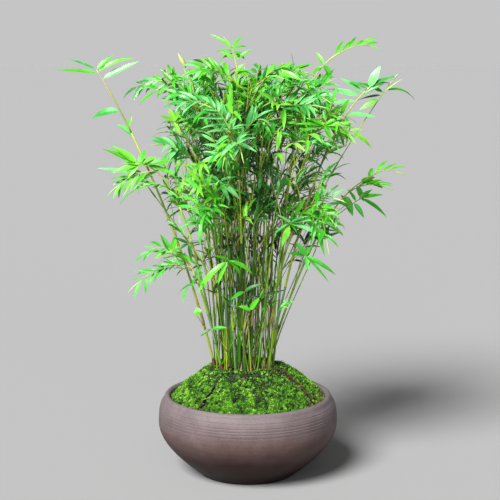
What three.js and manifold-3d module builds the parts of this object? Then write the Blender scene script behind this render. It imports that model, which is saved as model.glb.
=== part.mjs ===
// A clump of dwarf fern-leaf bamboo in a round stoneware bowl, in millimetres with +Z up.
// The origin is the centre of the bowl's flat underside. The bowl holds a mound of soil with
// four cushions of moss round its flat crown, and the culms stand on that crown. Each leading
// culm ends where it enters its own spray: a stem, its twigs and their leaves, fused in one.

import * as THREE from "three";
import Module from "manifold-3d";

const wasm = await Module();
wasm.setup();

// The bowl
const bowlHeight = 73;
const footRadius = 44;
const bellyRadius = 81.5;
const bellyHeight = 48;
const mouthRadius = 70.5;
const wall = 6;
const bowlFloor = wall + 1;
// How far the belly's curves reach out from the foot, down and up from the widest place
const footHandleOut = 16.5;
const footHandleUp = 13.5;
const bellyHandleDown = 18;
const bellyHandleUp = 20;
const bowlSides = 40;
const bowlCurveSteps = 4;

// Soil, moss and the clearance between pieces that lie against each other
const clearance = 0.3;
const soilCrownHeight = 97;
const soilCrownRadius = 32;
const soilEdgeHeight = 65;
const soilFall = 1.05;
const soilSides = 28;
const mossThickness = 5;
const mossLift = 0.7;
const mossSeamDegrees = 4;
const mossCushions = [
  { name: "front", from: -128, to: -28 },
  { name: "right", from: -28, to: 48 },
  { name: "back", from: 48, to: 150 },
  { name: "left", from: 150, to: 232 },
];

// The clump: culms stand on spots spread over an oval, thick at the foot and tapering upwards
const clumpHalfWidth = 28;
const clumpHalfDepth = 26;
const clumpMiddleX = -3;
const spareSpots = 10;
const footShareX = 0.36;
const footShareY = 0.32;
const culmFootRadius = 1.15;
const culmTopRadius = 0.7;
const culmSides = 5;
const culmSpacing = 1;
const internode = 34;
const nodeSwelling = 1.3;
const nodeWaist = 0.92;
const nodeHalfHeight = 0.004;
const footFlare = 1.35;

// A shoot's line: how much of its lean it has at the foot, and how far its two handles reach
const footLean = 0.6;
const footHandle = 0.4;
const tipHandle = 0.22;

// Sprays: each keeps to the space nearer to its own middle than to any other spray's middle
const middleShare = 0.86;
const sprayReach = 56;
const crownTop = 402;
const crownBodyTop = 372;
const stemMargin = 1.5;
const topStep = 0.01;
const leafMargin = 0.2;
const stemSteps = 5;
const stemFootRadius = 0.95;
const stemTipRadius = 0.75;
const twigSpacing = 9;
const twigLength = 30;
const twigRadius = 0.45;
const twigAngle = THREE.MathUtils.degToRad(48);
const shorterTwigs = [1, 0.7, 0.45];
const leafSpacing = 8;
const leafLength = 34;
const leafWidth = 9.5;
const leafThickness = 0.6;
const leafThickShare = 0.14;
const leafWideShare = 0.36;
const leafSunk = 0.18;
const leafSpread = 5;
const leafAngle = THREE.MathUtils.degToRad(42);
const shorterLeaves = [1, 0.75, 0.55];
const shortestEdge = 0.01;

// Shoots that stand out of the crown. Bearing is in degrees anticlockwise from +X, reach is from
// the bowl's axis to the stem's tip, climb is how steeply the tip still rises, in degrees, and bush
// is the length of the twigs against the usual one.
const leaders = [
  { name: "far_left", bearing: 183, reach: 133, height: 366, climb: 58, bush: 0.4 },
  { name: "left_arch", bearing: 188, reach: 100, height: 284, climb: 0, bush: 1 },
  { name: "low_left", bearing: 197, reach: 74, height: 206, climb: -20, bush: 0.7 },
  { name: "left_bud", bearing: 172, reach: 56, height: 368, climb: 65, bush: 0.4 },
  { name: "top", bearing: 140, reach: 18, height: 385, climb: 65, bush: 0.6 },
  { name: "top_right", bearing: 8, reach: 84, height: 382, climb: 25, bush: 0.8 },
  { name: "far_right", bearing: -6, reach: 112, height: 354, climb: 35, bush: 0.8 },
  { name: "low_right", bearing: 6, reach: 114, height: 270, climb: 15, bush: 0.8 },
];

// Rings of shoots that fill the crown on all sides, each turned from +X by its own angle
const tiers = [
  { name: "heart", count: 1, turn: 300, reach: 22, height: 346, climb: 60, bush: 1 },
  { name: "upper", count: 4, turn: 42, reach: 62, height: 344, climb: 20, bush: 1 },
  { name: "shoulder", count: 6, turn: 28, reach: 82, height: 314, climb: 0, bush: 1 },
  { name: "skirt", count: 4, turn: 62, reach: 72, height: 246, climb: -15, bush: 1 },
];
const tierJitter = 9;

// Culms with no spray of their own, which end among the leaves of the others
const innerCulms = 8;
const innerCulmHeight = 285;
const innerCulmReach = 38;
const innerCulmTurn = 60;

const up = new THREE.Vector3(0, 0, 1);
const goldenAngle = Math.PI * (3 - Math.sqrt(5));

// Park and Miller's generator: the same whole number always gives the same run of draws.
function seeded(seed) {
  let state = seed;
  return (low, high) => {
    state = (state * 16807) % 2147483647;
    return low + ((high - low) * state) / 2147483647;
  };
}

function pointAt(bearing, distance, height) {
  return new THREE.Vector3(distance * Math.cos(bearing), distance * Math.sin(bearing), height);
}

// The line of a shoot from foot to tip, in one upright plane. It leans a little at the foot,
// and at the tip it rises or nods by its climb.
function shootCurve(foot, tip, climbDegrees) {
  const across = new THREE.Vector3(tip.x - foot.x, tip.y - foot.y, 0);
  const run = across.length();
  const rise = tip.z - foot.z;
  const chord = Math.hypot(run, rise);
  const outward = across.normalize();
  const lean = footLean * Math.atan2(run, rise);
  const climb = THREE.MathUtils.degToRad(climbDegrees);
  const low = foot.clone()
    .addScaledVector(outward, footHandle * chord * Math.sin(lean))
    .addScaledVector(up, footHandle * chord * Math.cos(lean));
  const high = tip.clone()
    .addScaledVector(outward, -tipHandle * chord * Math.cos(climb))
    .addScaledVector(up, -tipHandle * chord * Math.sin(climb));
  return new THREE.CubicBezierCurve3(foot, low, high, tip);
}

// A closed skin round a row of rings, each with a centre, the direction it faces and a radius. The
// first ring sets which way the corners start, and the others follow it without a twist.
function loft(rings, sides) {
  const positions = [];
  const faces = [];
  const first = rings[0].facing;
  const helper = Math.abs(first.z) > 0.9 ? new THREE.Vector3(1, 0, 0) : up;
  const side = new THREE.Vector3().crossVectors(helper, first);
  for (const { centre, facing, radius } of rings) {
    side.addScaledVector(facing, -side.dot(facing)).normalize();
    const front = new THREE.Vector3().crossVectors(facing, side);
    for (let corner = 0; corner < sides; corner++) {
      const turn = (2 * Math.PI * corner) / sides;
      positions.push(...centre.clone()
        .addScaledVector(side, radius * Math.cos(turn))
        .addScaledVector(front, radius * Math.sin(turn)).toArray());
    }
  }
  for (let ring = 0; ring + 1 < rings.length; ring++)
    for (let corner = 0; corner < sides; corner++) {
      const a = ring * sides + corner;
      const b = ring * sides + ((corner + 1) % sides);
      faces.push(a, b, b + sides, a, b + sides, a + sides);
    }
  const last = (rings.length - 1) * sides;
  for (let corner = 1; corner + 1 < sides; corner++) {
    faces.push(0, corner + 1, corner);
    faces.push(last, last + corner, last + corner + 1);
  }
  return closedGeometry(positions, faces);
}

function closedGeometry(positions, faces) {
  return new THREE.BufferGeometry()
    .setAttribute("position", new THREE.Float32BufferAttribute(positions, 3))
    .setIndex(faces);
}

function solidFrom(geometry) {
  return new wasm.Manifold(new wasm.Mesh({
    numProp: 3,
    vertProperties: geometry.attributes.position.array,
    triVerts: new Uint32Array(geometry.index.array),
  }));
}

function geometryFrom(solid) {
  const { vertProperties, triVerts } = solid.getMesh();
  return closedGeometry(vertProperties, [...triVerts]);
}

// Corners of the bowl's inside below the lip, from its widest place down to the edge of its floor
const innerWall = [
  [bellyRadius - wall, bellyHeight + 4],
  [bellyRadius - wall - 1, bellyHeight - 12],
  [bellyRadius - wall - 16, bellyHeight - 28],
  [footRadius, bowlFloor],
];

// The bowl's wall as a profile: out from the middle of the underside, up the belly, over the
// rounded lip, and down the plain inside to the middle of the floor.
function bowlProfile() {
  const lipInside = mouthRadius;
  const lipOutside = mouthRadius + wall;
  const lipStart = bowlHeight - 3;
  const profile = new THREE.Path();
  profile.moveTo(0, 0);
  profile.lineTo(footRadius, 0);
  profile.bezierCurveTo(footRadius + footHandleOut, footHandleUp,
    bellyRadius, bellyHeight - bellyHandleDown, bellyRadius, bellyHeight);
  profile.bezierCurveTo(bellyRadius, bellyHeight + bellyHandleUp,
    lipOutside + 1, lipStart - 4, lipOutside, lipStart);
  profile.bezierCurveTo(lipOutside - 1, bowlHeight + 1, lipInside + 1, bowlHeight + 1, lipInside, lipStart);
  for (const [radius, height] of innerWall) profile.lineTo(radius, height);
  profile.lineTo(0, bowlFloor);
  return profile;
}

// A profile turned about the upright axis
function turned(profile, divisions, sides) {
  return new THREE.LatheGeometry(profile.getPoints(divisions), sides).rotateX(Math.PI / 2);
}

function bowlGeometry() {
  return turned(bowlProfile(), bowlCurveSteps, bowlSides);
}

// Height of the soil's slope: level on the crown, then falling to its edge at the bowl's wall.
function soilHeight(radius) {
  const t = THREE.MathUtils.clamp((radius - soilCrownRadius) / (mouthRadius - soilCrownRadius), 0, 1);
  return soilCrownHeight - (soilCrownHeight - soilEdgeHeight) * Math.pow(t, soilFall);
}

function soilGeometry() {
  const profile = new THREE.Path();
  profile.moveTo(0, bowlFloor + clearance);
  for (const [radius, height] of [...innerWall].reverse())
    profile.lineTo(radius - 2.5 * clearance, Math.max(height, bowlFloor + clearance));
  profile.lineTo(mouthRadius + 0.5, soilEdgeHeight - 2);
  for (const share of [1, 0.6, 0.3, 0]) {
    const radius = soilCrownRadius + share * (mouthRadius - 0.5 - soilCrownRadius);
    profile.lineTo(radius, soilHeight(radius));
  }
  profile.lineTo(0, soilCrownHeight);
  return turned(profile, 1, soilSides);
}

// A rounded hump over 0 to 1 that starts and ends a little way up its side
function hump(share, edge, bluntness) {
  return Math.pow(Math.sin(Math.PI * (edge + (1 - 2 * edge) * share)), bluntness);
}

// One cushion of moss: a block bent round the mound, thick in its middle, thin at its edges,
// with a lumpy top that stands a little over the bowl's lip.
function mossGeometry({ from, to }) {
  const first = THREE.MathUtils.degToRad(from + mossSeamDegrees / 2);
  const span = THREE.MathUtils.degToRad(to - from - mossSeamDegrees);
  const innerRadius = soilCrownRadius + 1.5;
  const outerRadius = mouthRadius - 1;
  const block = new THREE.BoxGeometry(1, 1, 1, 5, 9, 1);
  const corner = block.attributes.position;
  for (let i = 0; i < corner.count; i++) {
    const out = corner.getX(i) + 0.5;
    const along = corner.getY(i) + 0.5;
    const bearing = first + span * along;
    const radius = innerRadius + (outerRadius - innerRadius) * out;
    const crest = hump(along, 0.12, 0.4) * hump(out, 0.14, 0.5);
    const lump = 0.12 * Math.sin(5 * bearing + 0.21 * radius)
      + 0.1 * Math.sin(11 * bearing - 0.3 * radius);
    const top = corner.getZ(i) > 0 ? mossThickness * crest * (1 + lump) : 0;
    const swell = out === 1 && corner.getZ(i) > 0 ? 0.5 : 0;
    const place = pointAt(bearing, radius - swell, soilHeight(radius) + mossLift + top);
    corner.setXYZ(i, place.x, place.y, place.z);
  }
  return block;
}

// Radius of a culm at a share of its whole shoot: a steady taper from foot to tip.
function culmRadius(share) {
  return THREE.MathUtils.lerp(culmFootRadius, culmTopRadius, share);
}

// A culm from its flat cut on the soil to where its spray begins. Its foot flares, and each
// node is a collar just above the narrow end of the internode below it.
function culmGeometry(shoot) {
  const length = shoot.curve.getLength() * shoot.top;
  const internodes = Math.max(3, Math.round(length / internode));
  const rings = [{ t: 0, width: footFlare }];
  for (let n = 1; n <= internodes; n++) {
    const t = (shoot.top * n) / internodes;
    if (n < internodes) {
      rings.push({ t: t - nodeHalfHeight, width: nodeWaist });
      rings.push({ t: t + nodeHalfHeight, width: nodeSwelling });
    } else rings.push({ t, width: nodeWaist });
  }
  return loft(rings.map(({ t, width }) => ({
    centre: shoot.curve.getPoint(t),
    facing: t === 0 ? up : shoot.curve.getTangent(t),
    radius: width * culmRadius(t),
  })), culmSides);
}

// Every shoot's foot is one of the sunflower-spaced spots of the clump's oval.
function clumpSpots(count) {
  const spots = [];
  for (let i = 0; i < count; i++) {
    const share = Math.sqrt((i + 0.5) / count);
    const turn = i * goldenAngle;
    const x = clumpMiddleX + clumpHalfWidth * share * Math.cos(turn);
    const y = clumpHalfDepth * share * Math.sin(turn);
    spots.push(new THREE.Vector3(x, y, soilCrownHeight + clearance));
  }
  return spots;
}

// Least distance between two curves, sampled evenly
function distanceBetween(curveA, curveB) {
  const samples = 30;
  let least = Infinity;
  for (let i = 0; i <= samples; i++) {
    const a = curveA.getPoint(i / samples);
    for (let j = 0; j <= samples; j++)
      least = Math.min(least, a.distanceTo(curveB.getPoint(j / samples)));
  }
  return least;
}

// Where each shoot's tip is wanted, before it has a foot
function wantedShoots() {
  const shoots = leaders.map((leader) => ({ ...leader, ceiling: crownTop, leafy: true }));
  tiers.forEach((tier, ring) => {
    const draw = seeded(101 + ring);
    for (let i = 0; i < tier.count; i++)
      shoots.push({
        name: `${tier.name}_${i + 1}`,
        bearing: tier.turn + (360 * i) / tier.count + draw(-tierJitter, tierJitter),
        reach: tier.reach * draw(0.9, 1.1),
        height: tier.height + draw(-12, 12),
        climb: tier.climb + draw(-12, 12),
        bush: tier.bush,
        ceiling: crownBodyTop,
        leafy: true,
      });
  });
  const draw = seeded(211);
  for (let i = 0; i < innerCulms; i++)
    shoots.push({
      name: `inner_${i + 1}`,
      bearing: innerCulmTurn + THREE.MathUtils.radToDeg(i * goldenAngle),
      reach: innerCulmReach * draw(0.5, 1.1),
      height: innerCulmHeight + draw(-40, 25),
      climb: 70,
      leafy: false,
    });
  return shoots;
}

// Gives each shoot the free spot that suits its lean best and keeps its culm clear of the rest.
function plantedShoots() {
  const shoots = wantedShoots();
  const spots = clumpSpots(shoots.length + spareSpots);
  const planted = [];
  for (const shoot of shoots) {
    const tip = pointAt(THREE.MathUtils.degToRad(shoot.bearing), shoot.reach, shoot.height);
    const wanted = new THREE.Vector3(clumpMiddleX + footShareX * tip.x, footShareY * tip.y, soilCrownHeight);
    const nearest = [...spots].sort((a, b) => a.distanceTo(wanted) - b.distanceTo(wanted));
    const apart = 2 * culmFootRadius + culmSpacing;
    const suits = (spot) => {
      const curve = shootCurve(spot, tip, shoot.climb);
      return planted.every((other) => distanceBetween(curve, other.curve) > apart);
    };
    const spot = nearest.find(suits);
    if (!spot) throw new Error(`no clear spot for ${shoot.name}`);
    spots.splice(spots.indexOf(spot), 1);
    planted.push({ ...shoot, curve: shootCurve(spot, tip, shoot.climb), top: 1 });
  }
  return planted;
}

const shoots = plantedShoots();
const leafyShoots = shoots.filter((shoot) => shoot.leafy);
for (const shoot of leafyShoots) shoot.middle = shoot.curve.getPoint(middleShare);

// True if a point keeps to a spray's own space: below its ceiling, within reach of the spray's
// middle, and nearer to it than to the middle of any other. Such a space has no hollows, so a leaf
// whose corners are all in it is in it as a whole, and two sprays never meet.
function inSpace(shoot, point, margin) {
  const own = point.distanceTo(shoot.middle);
  if (own > sprayReach || point.z > shoot.ceiling) return false;
  return leafyShoots.every((other) => {
    if (other === shoot) return true;
    const apart = other.middle.distanceTo(shoot.middle);
    const nearerBy = (point.distanceToSquared(other.middle) - own * own) / (2 * apart);
    return nearerBy > margin;
  });
}

// A culm ends where its shoot enters its own spray's space for good.
for (const shoot of leafyShoots) {
  let t = 1;
  while (t > 0.5 && inSpace(shoot, shoot.curve.getPoint(t), stemMargin)) t -= topStep;
  shoot.top = t + topStep;
}

// Each culm as a row of short straight pieces, which leaves and twigs keep clear of
const culmPieces = shoots.flatMap((shoot) => {
  const count = 16;
  return Array.from({ length: count }, (_, i) => ({
    line: new THREE.Line3(
      shoot.curve.getPoint((shoot.top * i) / count), shoot.curve.getPoint((shoot.top * (i + 1)) / count)),
    radius: nodeSwelling * culmRadius((shoot.top * i) / count),
  }));
});

// True if a straight piece of the given half-width touches no culm
function clearOfCulms(start, end, halfWidth) {
  const steps = 8;
  const nearest = new THREE.Vector3();
  for (let i = 0; i <= steps; i++) {
    const point = start.clone().lerp(end, i / steps);
    for (const { line, radius } of culmPieces) {
      line.closestPointToPoint(point, true, nearest);
      if (nearest.distanceTo(point) < radius + halfWidth + 2 * clearance) return false;
    }
  }
  return true;
}

// The five corners of a leaf: its foot, the raised middle of its rib, its widest pair and its point
function leafCorners(foot, direction, facing, length) {
  const side = new THREE.Vector3().crossVectors(direction, facing).normalize();
  const over = new THREE.Vector3().crossVectors(side, direction);
  const corner = (along, across, above) => foot.clone()
    .addScaledVector(direction, along * length)
    .addScaledVector(side, across)
    .addScaledVector(over, above);
  const half = (leafWidth / 2) * (length / leafLength);
  return [
    corner(0, 0, 0), corner(leafThickShare, 0, leafThickness),
    corner(leafWideShare, -half, 0), corner(leafWideShare, half, 0), corner(1, 0, 0),
  ];
}

function leafSolid(corners) {
  const faces = [0, 1, 2, 0, 3, 1, 4, 2, 1, 4, 1, 3, 0, 2, 3, 4, 3, 2];
  return solidFrom(closedGeometry(corners.flatMap((corner) => corner.toArray()), faces));
}

// A twig's or stem's skin with three sides
function twigSolid(points, startRadius, endRadius) {
  const rings = points.map((centre, i) => {
    const before = points[Math.max(0, i - 1)];
    const after = points[Math.min(points.length - 1, i + 1)];
    return {
      centre,
      facing: after.clone().sub(before).normalize(),
      radius: THREE.MathUtils.lerp(startRadius, endRadius, i / (points.length - 1)),
    };
  });
  return solidFrom(loft(rings, 3));
}

// The stem of a spray as a few straight steps, from just clear of its culm's end to its tip
function stemPoints(shoot) {
  const points = Array.from({ length: stemSteps + 1 }, (_, i) =>
    shoot.curve.getPoint(THREE.MathUtils.lerp(shoot.top, 1, i / stemSteps)));
  points[0].addScaledVector(shoot.curve.getTangent(shoot.top), clearance);
  return points;
}

// The twigs of a spray as pairs of root and end, turned round the stem by the golden angle. A twig
// that would leave the spray's space or touch a culm is tried shorter, and then isn't grown.
function sprayTwigs(shoot, stem, draw) {
  const stemLength = stem[0].distanceTo(stem[stemSteps]);
  const count = Math.max(3, Math.round(stemLength / twigSpacing));
  const twigs = [];
  for (let n = 0; n < count; n++) {
    const along = (stemSteps * (n + 0.4)) / count;
    const step = Math.floor(along);
    const root = stem[step].clone().lerp(stem[step + 1], along - step);
    const onward = stem[step + 1].clone().sub(stem[step]).normalize();
    const roll = n * goldenAngle + draw(-0.4, 0.4);
    const side = new THREE.Vector3().crossVectors(onward, pointAt(roll, 1, 0.2)).normalize();
    const direction = onward.multiplyScalar(Math.cos(twigAngle)).addScaledVector(side, Math.sin(twigAngle));
    const length = shoot.bush * twigLength * draw(0.75, 1.15);
    for (const share of shorterTwigs) {
      const end = root.clone().addScaledVector(direction, share * length);
      if (!inSpace(shoot, end, stemMargin) || !clearOfCulms(root.clone().lerp(end, 0.12), end, 1)) continue;
      twigs.push([root, end]);
      break;
    }
  }
  return twigs;
}

// One spray: the stem that goes on from the culm, its twigs, and leaves in two rows along each
// twig and at the stem's end. A leaf that would leave the spray's space, touch a culm or crowd
// another leaf is tried shorter, and then isn't grown.
function sprayGeometry(shoot, index) {
  const stem = stemPoints(shoot);
  const twigs = sprayTwigs(shoot, stem, seeded(1009 + 37 * index));
  const pieces = [twigSolid(stem, stemFootRadius, stemTipRadius)];
  twigs.forEach((twig) => pieces.push(twigSolid(twig, twigRadius, twigRadius)));

  const draw = seeded(5003 + 41 * index);
  const leafPoints = [];
  const growLeaf = (twigPoint, direction, length) => {
    const foot = twigPoint.clone().addScaledVector(direction, -leafSunk);
    const facing = up.clone().add(pointAt(draw(0, 2 * Math.PI), draw(0.4, 1.5), 0));
    for (const share of shorterLeaves) {
      const corners = leafCorners(foot, direction, facing, share * length);
      const own = [0.35, 0.6, 0.9].map((part) => foot.clone().lerp(corners[4], part));
      const fits = corners.every((corner) => inSpace(shoot, corner, leafMargin))
        && clearOfCulms(foot, corners[4], leafWidth / 2)
        && own.every((point) => leafPoints.every((other) => other.distanceTo(point) > leafSpread));
      if (!fits) continue;
      leafPoints.push(...own);
      pieces.push(leafSolid(corners));
      break;
    }
  };

  for (const [root, end] of [...twigs, [stem[stemSteps - 1], stem[stemSteps]]]) {
    const along = end.clone().sub(root);
    const length = along.length();
    along.normalize();
    const sideways = new THREE.Vector3().crossVectors(along, up).normalize();
    const count = Math.max(2, Math.floor(length / leafSpacing));
    for (let n = 1; n <= count; n++) {
      const hand = n % 2 ? 1 : -1;
      const direction = along.clone().multiplyScalar(Math.cos(leafAngle))
        .addScaledVector(sideways, hand * Math.sin(leafAngle))
        .addScaledVector(up, draw(-0.5, 0.25)).normalize();
      growLeaf(root.clone().lerp(end, (n + 0.2) / (count + 0.8)), direction, leafLength * draw(0.75, 1));
    }
    const onward = along.clone().addScaledVector(up, draw(-0.4, 0.05)).normalize();
    growLeaf(end.clone().addScaledVector(along, -0.6), onward, leafLength * draw(0.85, 1.05));
  }
  return geometryFrom(pieces.reduce((sum, piece) => sum.add(piece)).simplify(shortestEdge));
}

// Colours and finishes
const stoneware = new THREE.MeshStandardMaterial({ color: 0x7d6a62, roughness: 0.75, metalness: 0 });
const darkSoil = new THREE.MeshStandardMaterial({ color: 0x2a1f17, roughness: 0.95, metalness: 0 });
const brightMoss = new THREE.MeshStandardMaterial({ color: 0x4f8f1c, roughness: 0.95, metalness: 0 });
const greenCulm = new THREE.MeshStandardMaterial({ color: 0x7c9a3a, roughness: 0.5, metalness: 0 });
const leafGreen = new THREE.MeshStandardMaterial({ color: 0x3f9a2c, roughness: 0.5, metalness: 0 });

const plant = new THREE.Group();

function addPiece(name, geometry, material) {
  const mesh = new THREE.Mesh(geometry, material);
  mesh.name = name;
  plant.add(mesh);
}

addPiece("bowl", bowlGeometry(), stoneware);
addPiece("soil", soilGeometry(), darkSoil);
mossCushions.forEach((cushion) => addPiece(`moss_${cushion.name}`, mossGeometry(cushion), brightMoss));
shoots.forEach((shoot) => addPiece(`culm_${shoot.name}`, culmGeometry(shoot), greenCulm));
leafyShoots.forEach((shoot, index) =>
  addPiece(`spray_${shoot.name}`, sprayGeometry(shoot, index), leafGreen));

export default plant;
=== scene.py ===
# %% [markdown]
# # A bowl of dwarf fern-leaf bamboo
# This lesson dresses a solid model as a living plant: a close clump of thin culms in a round
# stoneware bowl, on a mound of soil under cushions of moss. The solid model comes in as a fixed
# frame. It says where the bowl, the mound, every culm and every spray of leaves stand. The pieces
# made here take the place of those solids and keep to their size.

# %% Load the solid model
import functools
import math

import bpy
import numpy as np
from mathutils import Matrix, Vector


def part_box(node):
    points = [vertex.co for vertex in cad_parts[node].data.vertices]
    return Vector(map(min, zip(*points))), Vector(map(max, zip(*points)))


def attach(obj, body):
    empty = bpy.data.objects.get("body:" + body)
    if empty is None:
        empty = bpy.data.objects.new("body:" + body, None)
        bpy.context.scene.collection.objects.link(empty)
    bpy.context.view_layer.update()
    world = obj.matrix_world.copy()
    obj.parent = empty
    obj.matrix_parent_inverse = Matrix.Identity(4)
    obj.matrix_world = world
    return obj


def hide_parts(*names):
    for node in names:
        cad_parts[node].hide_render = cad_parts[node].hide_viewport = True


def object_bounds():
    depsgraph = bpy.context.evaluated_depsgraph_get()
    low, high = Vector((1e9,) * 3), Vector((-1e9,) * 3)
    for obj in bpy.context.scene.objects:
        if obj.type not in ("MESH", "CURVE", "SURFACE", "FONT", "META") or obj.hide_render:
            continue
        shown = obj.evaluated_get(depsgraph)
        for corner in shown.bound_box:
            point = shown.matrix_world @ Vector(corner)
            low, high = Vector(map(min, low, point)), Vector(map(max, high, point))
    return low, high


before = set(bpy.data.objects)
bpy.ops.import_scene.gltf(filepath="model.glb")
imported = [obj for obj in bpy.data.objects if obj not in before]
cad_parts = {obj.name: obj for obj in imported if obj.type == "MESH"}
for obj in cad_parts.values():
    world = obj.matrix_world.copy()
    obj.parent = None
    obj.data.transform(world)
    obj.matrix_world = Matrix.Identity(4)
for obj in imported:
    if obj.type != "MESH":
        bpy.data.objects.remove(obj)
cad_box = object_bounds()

MM = 0.001
size_mm = [round((high - low) / MM, 1) for low, high in zip(*cad_box)]
print(f"{len(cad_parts)} solids in a box of {size_mm} mm")

# %% [markdown]
# ## The camera
# The plant was seen from a little over a metre away with a long lens, from as high as its crown
# and looking a little down. A camera could be aimed by a constraint, but place, pitch and lens
# are enough and are easy to read. The picture is square, 500 by 500, so the sensor's width is its
# whole side.

# %% Place the camera
camera_from_bowl = np.array([2, -1150, 380])
camera_pitch = math.radians(8.66)
camera_lens = 93.06

camera_data = bpy.data.cameras.new("camera")
camera_data.lens = camera_lens
camera_data.sensor_width = 36
camera = bpy.data.objects.new("camera", camera_data)
camera.location = camera_from_bowl * MM
camera.rotation_euler = (math.radians(90) - camera_pitch, 0, 0)
bpy.context.scene.collection.objects.link(camera)
bpy.context.scene.camera = camera
print(f"camera {abs(camera_from_bowl[1])} mm in front of the bowl, {camera_lens} mm lens")

# %% [markdown]
# ## Floor and light
# A wide pale disc is the floor, so that there is floor under the plant from every side. The
# light is a studio's: one broad soft lamp high at the left front, and a weak one low in front
# that lifts the shade between the leaves. Both are suns with a wide angle, so that they light the
# floor as evenly far off as near by. The room is pale where it meets the floor and darker
# overhead, which keeps the inside of the clump in shade. Its pale band is as bright as the lit
# floor, so that no horizon shows. The colours of young leaves are strong, so the plain display
# transform is chosen, which doesn't grey them.

# %% Lay the floor and hang the lamps
floor_paleness = 0.349
floor_height = -0.0001
room_brightness = 0.56
overhead_brightness = 0.10
# how far up the room stays pale, and where it is at its darkest, with 1 straight above
pale_up_to = 0.06
dark_from = 0.32


def soft_sun(name, tilt, turn, softness, strength):
    """A wide sun; its tilt is from straight above, and all three angles are in degrees."""
    lamp = bpy.data.lights.new(name, "SUN")
    lamp.energy = strength
    lamp.angle = math.radians(softness)
    holder = bpy.data.objects.new(name, lamp)
    holder.rotation_euler = (math.radians(tilt), 0, math.radians(turn))
    bpy.context.scene.collection.objects.link(holder)


def pale_floor(radius, corners):
    """A disc a hair below the bowl's foot, so that the two faces never meet."""
    turns = np.arange(corners) * 2 * math.pi / corners
    heights = np.full(corners, floor_height)
    rim = np.stack([radius * np.cos(turns), radius * np.sin(turns), heights], axis=1)
    mesh = bpy.data.meshes.new("floor")
    mesh.from_pydata(rim.tolist(), [], [list(range(corners))])
    floor = bpy.data.objects.new("floor", mesh)
    bpy.context.scene.collection.objects.link(floor)
    paint = bpy.data.materials.new("floor_paint")
    paint.use_nodes = True
    shader = paint.node_tree.nodes["Principled BSDF"]
    shader.inputs["Base Color"].default_value = (floor_paleness, floor_paleness, floor_paleness, 1)
    shader.inputs["Roughness"].default_value = 1.0
    shader.inputs["Specular IOR Level"].default_value = 0.0
    mesh.materials.append(paint)


def pale_room():
    room = bpy.data.worlds.new("room")
    room.use_nodes = True
    nodes, links = room.node_tree.nodes, room.node_tree.links
    direction = nodes.new("ShaderNodeTexCoord")
    parts = nodes.new("ShaderNodeSeparateXYZ")
    links.new(direction.outputs["Generated"], parts.inputs["Vector"])
    shade = nodes.new("ShaderNodeValToRGB")
    links.new(parts.outputs["Z"], shade.inputs["Fac"])
    for element, (height, level) in zip(shade.color_ramp.elements,
                                        ((pale_up_to, room_brightness), (dark_from, overhead_brightness))):
        element.position = height
        element.color = (level, level, level, 1)
    links.new(shade.outputs["Color"], nodes["Background"].inputs["Color"])
    bpy.context.scene.world = room


pale_floor(radius=40, corners=96)
pale_room()
soft_sun("high_front_left", tilt=48, turn=-32, softness=26, strength=6.6)
soft_sun("low_front", tilt=76, turn=6, softness=50, strength=0.8)
bpy.context.scene.view_settings.view_transform = "Standard"
print("a floor, two soft lamps and a pale room")

# %% [markdown]
# ## Heaps of small shapes
# A plant is thousands of small shapes: leaves, twigs, shoots of moss. As separate objects they
# would be slow to handle, so shapes of one kind are heaped up in millimetres and turned into one
# mesh at the end. Each face remembers its finish. Leaf against leaf, colour is dealt out whole,
# one finish to a shape, so that it stays where it belongs however the mesh is used.

# %% A heap, and the piece that it becomes
up = np.array([0.0, 0.0, 1.0])


def unit(vector):
    return vector / np.linalg.norm(vector)


class Heap:
    """Small shapes of one kind, in millimetres, on their way to being one piece."""

    def __init__(self):
        self.corners = []
        self.faces = []
        self.finishes = []
        self.spreads = []
        self.count = 0

    def add(self, corners, faces, finish=0, spread=None):
        """finish is one number or one for each face; spread is each corner's place over and along a blade."""
        corners = np.asarray(corners, float).reshape(-1, 3)
        self.corners.append(corners)
        self.faces.extend([[corner + self.count for corner in face] for face in faces])
        self.finishes.extend([finish] * len(faces) if np.isscalar(finish) else list(finish))
        self.spreads.append(np.zeros((len(corners), 2)) if spread is None else spread)
        self.count += len(corners)


def make_piece(name, heap, finishes, stands_for, smooth=True):
    """Turns a heap into one mesh, which takes the place of the solids that it stands for."""
    mesh = bpy.data.meshes.new(name)
    corners = np.concatenate(heap.corners) * MM
    mesh.from_pydata(corners.tolist(), [], heap.faces)
    for finish in finishes:
        mesh.materials.append(finish)
    mesh.polygons.foreach_set("material_index", heap.finishes)
    mesh.polygons.foreach_set("use_smooth", [smooth] * len(mesh.polygons))
    blade = mesh.uv_layers.new(name="blade")
    loop_corner = np.zeros(len(mesh.loops), np.int32)
    mesh.loops.foreach_get("vertex_index", loop_corner)
    places = np.concatenate(heap.spreads)[loop_corner]
    blade.data.foreach_set("uv", places.astype(np.float32).ravel())
    piece = bpy.data.objects.new(name, mesh)
    bpy.context.scene.collection.objects.link(piece)
    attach(piece, "root")
    if stands_for:
        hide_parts(*stands_for)
    triangles = sum(len(face) - 2 for face in heap.faces)
    print(f"{name}: {triangles} triangles")
    return piece


print("pieces are made in millimetres and scaled by", MM)

# %% [markdown]
# ## Tubes
# Culms, twigs and rolled leaves are all tubes along a line. A curve object with a bevel could
# draw them, but the ridge at each node needs its own radius and its own finish, so the rings are
# set one by one. Each ring turns with the line and carries its first corner on from the last ring,
# so that the tube never twists.

# %% A tube along a line
def grid_faces(rows, columns, closed=True):
    """The faces between rows of corners; closed joins the last column to the first."""
    faces = []
    for row in range(rows - 1):
        for column in range(columns if closed else columns - 1):
            a = row * columns + column
            b = row * columns + (column + 1) % columns
            faces.append((a, b, b + columns, a + columns))
    return faces


def headings(path):
    ahead = np.gradient(path, axis=0)
    return ahead / np.linalg.norm(ahead, axis=1, keepdims=True)


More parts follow.
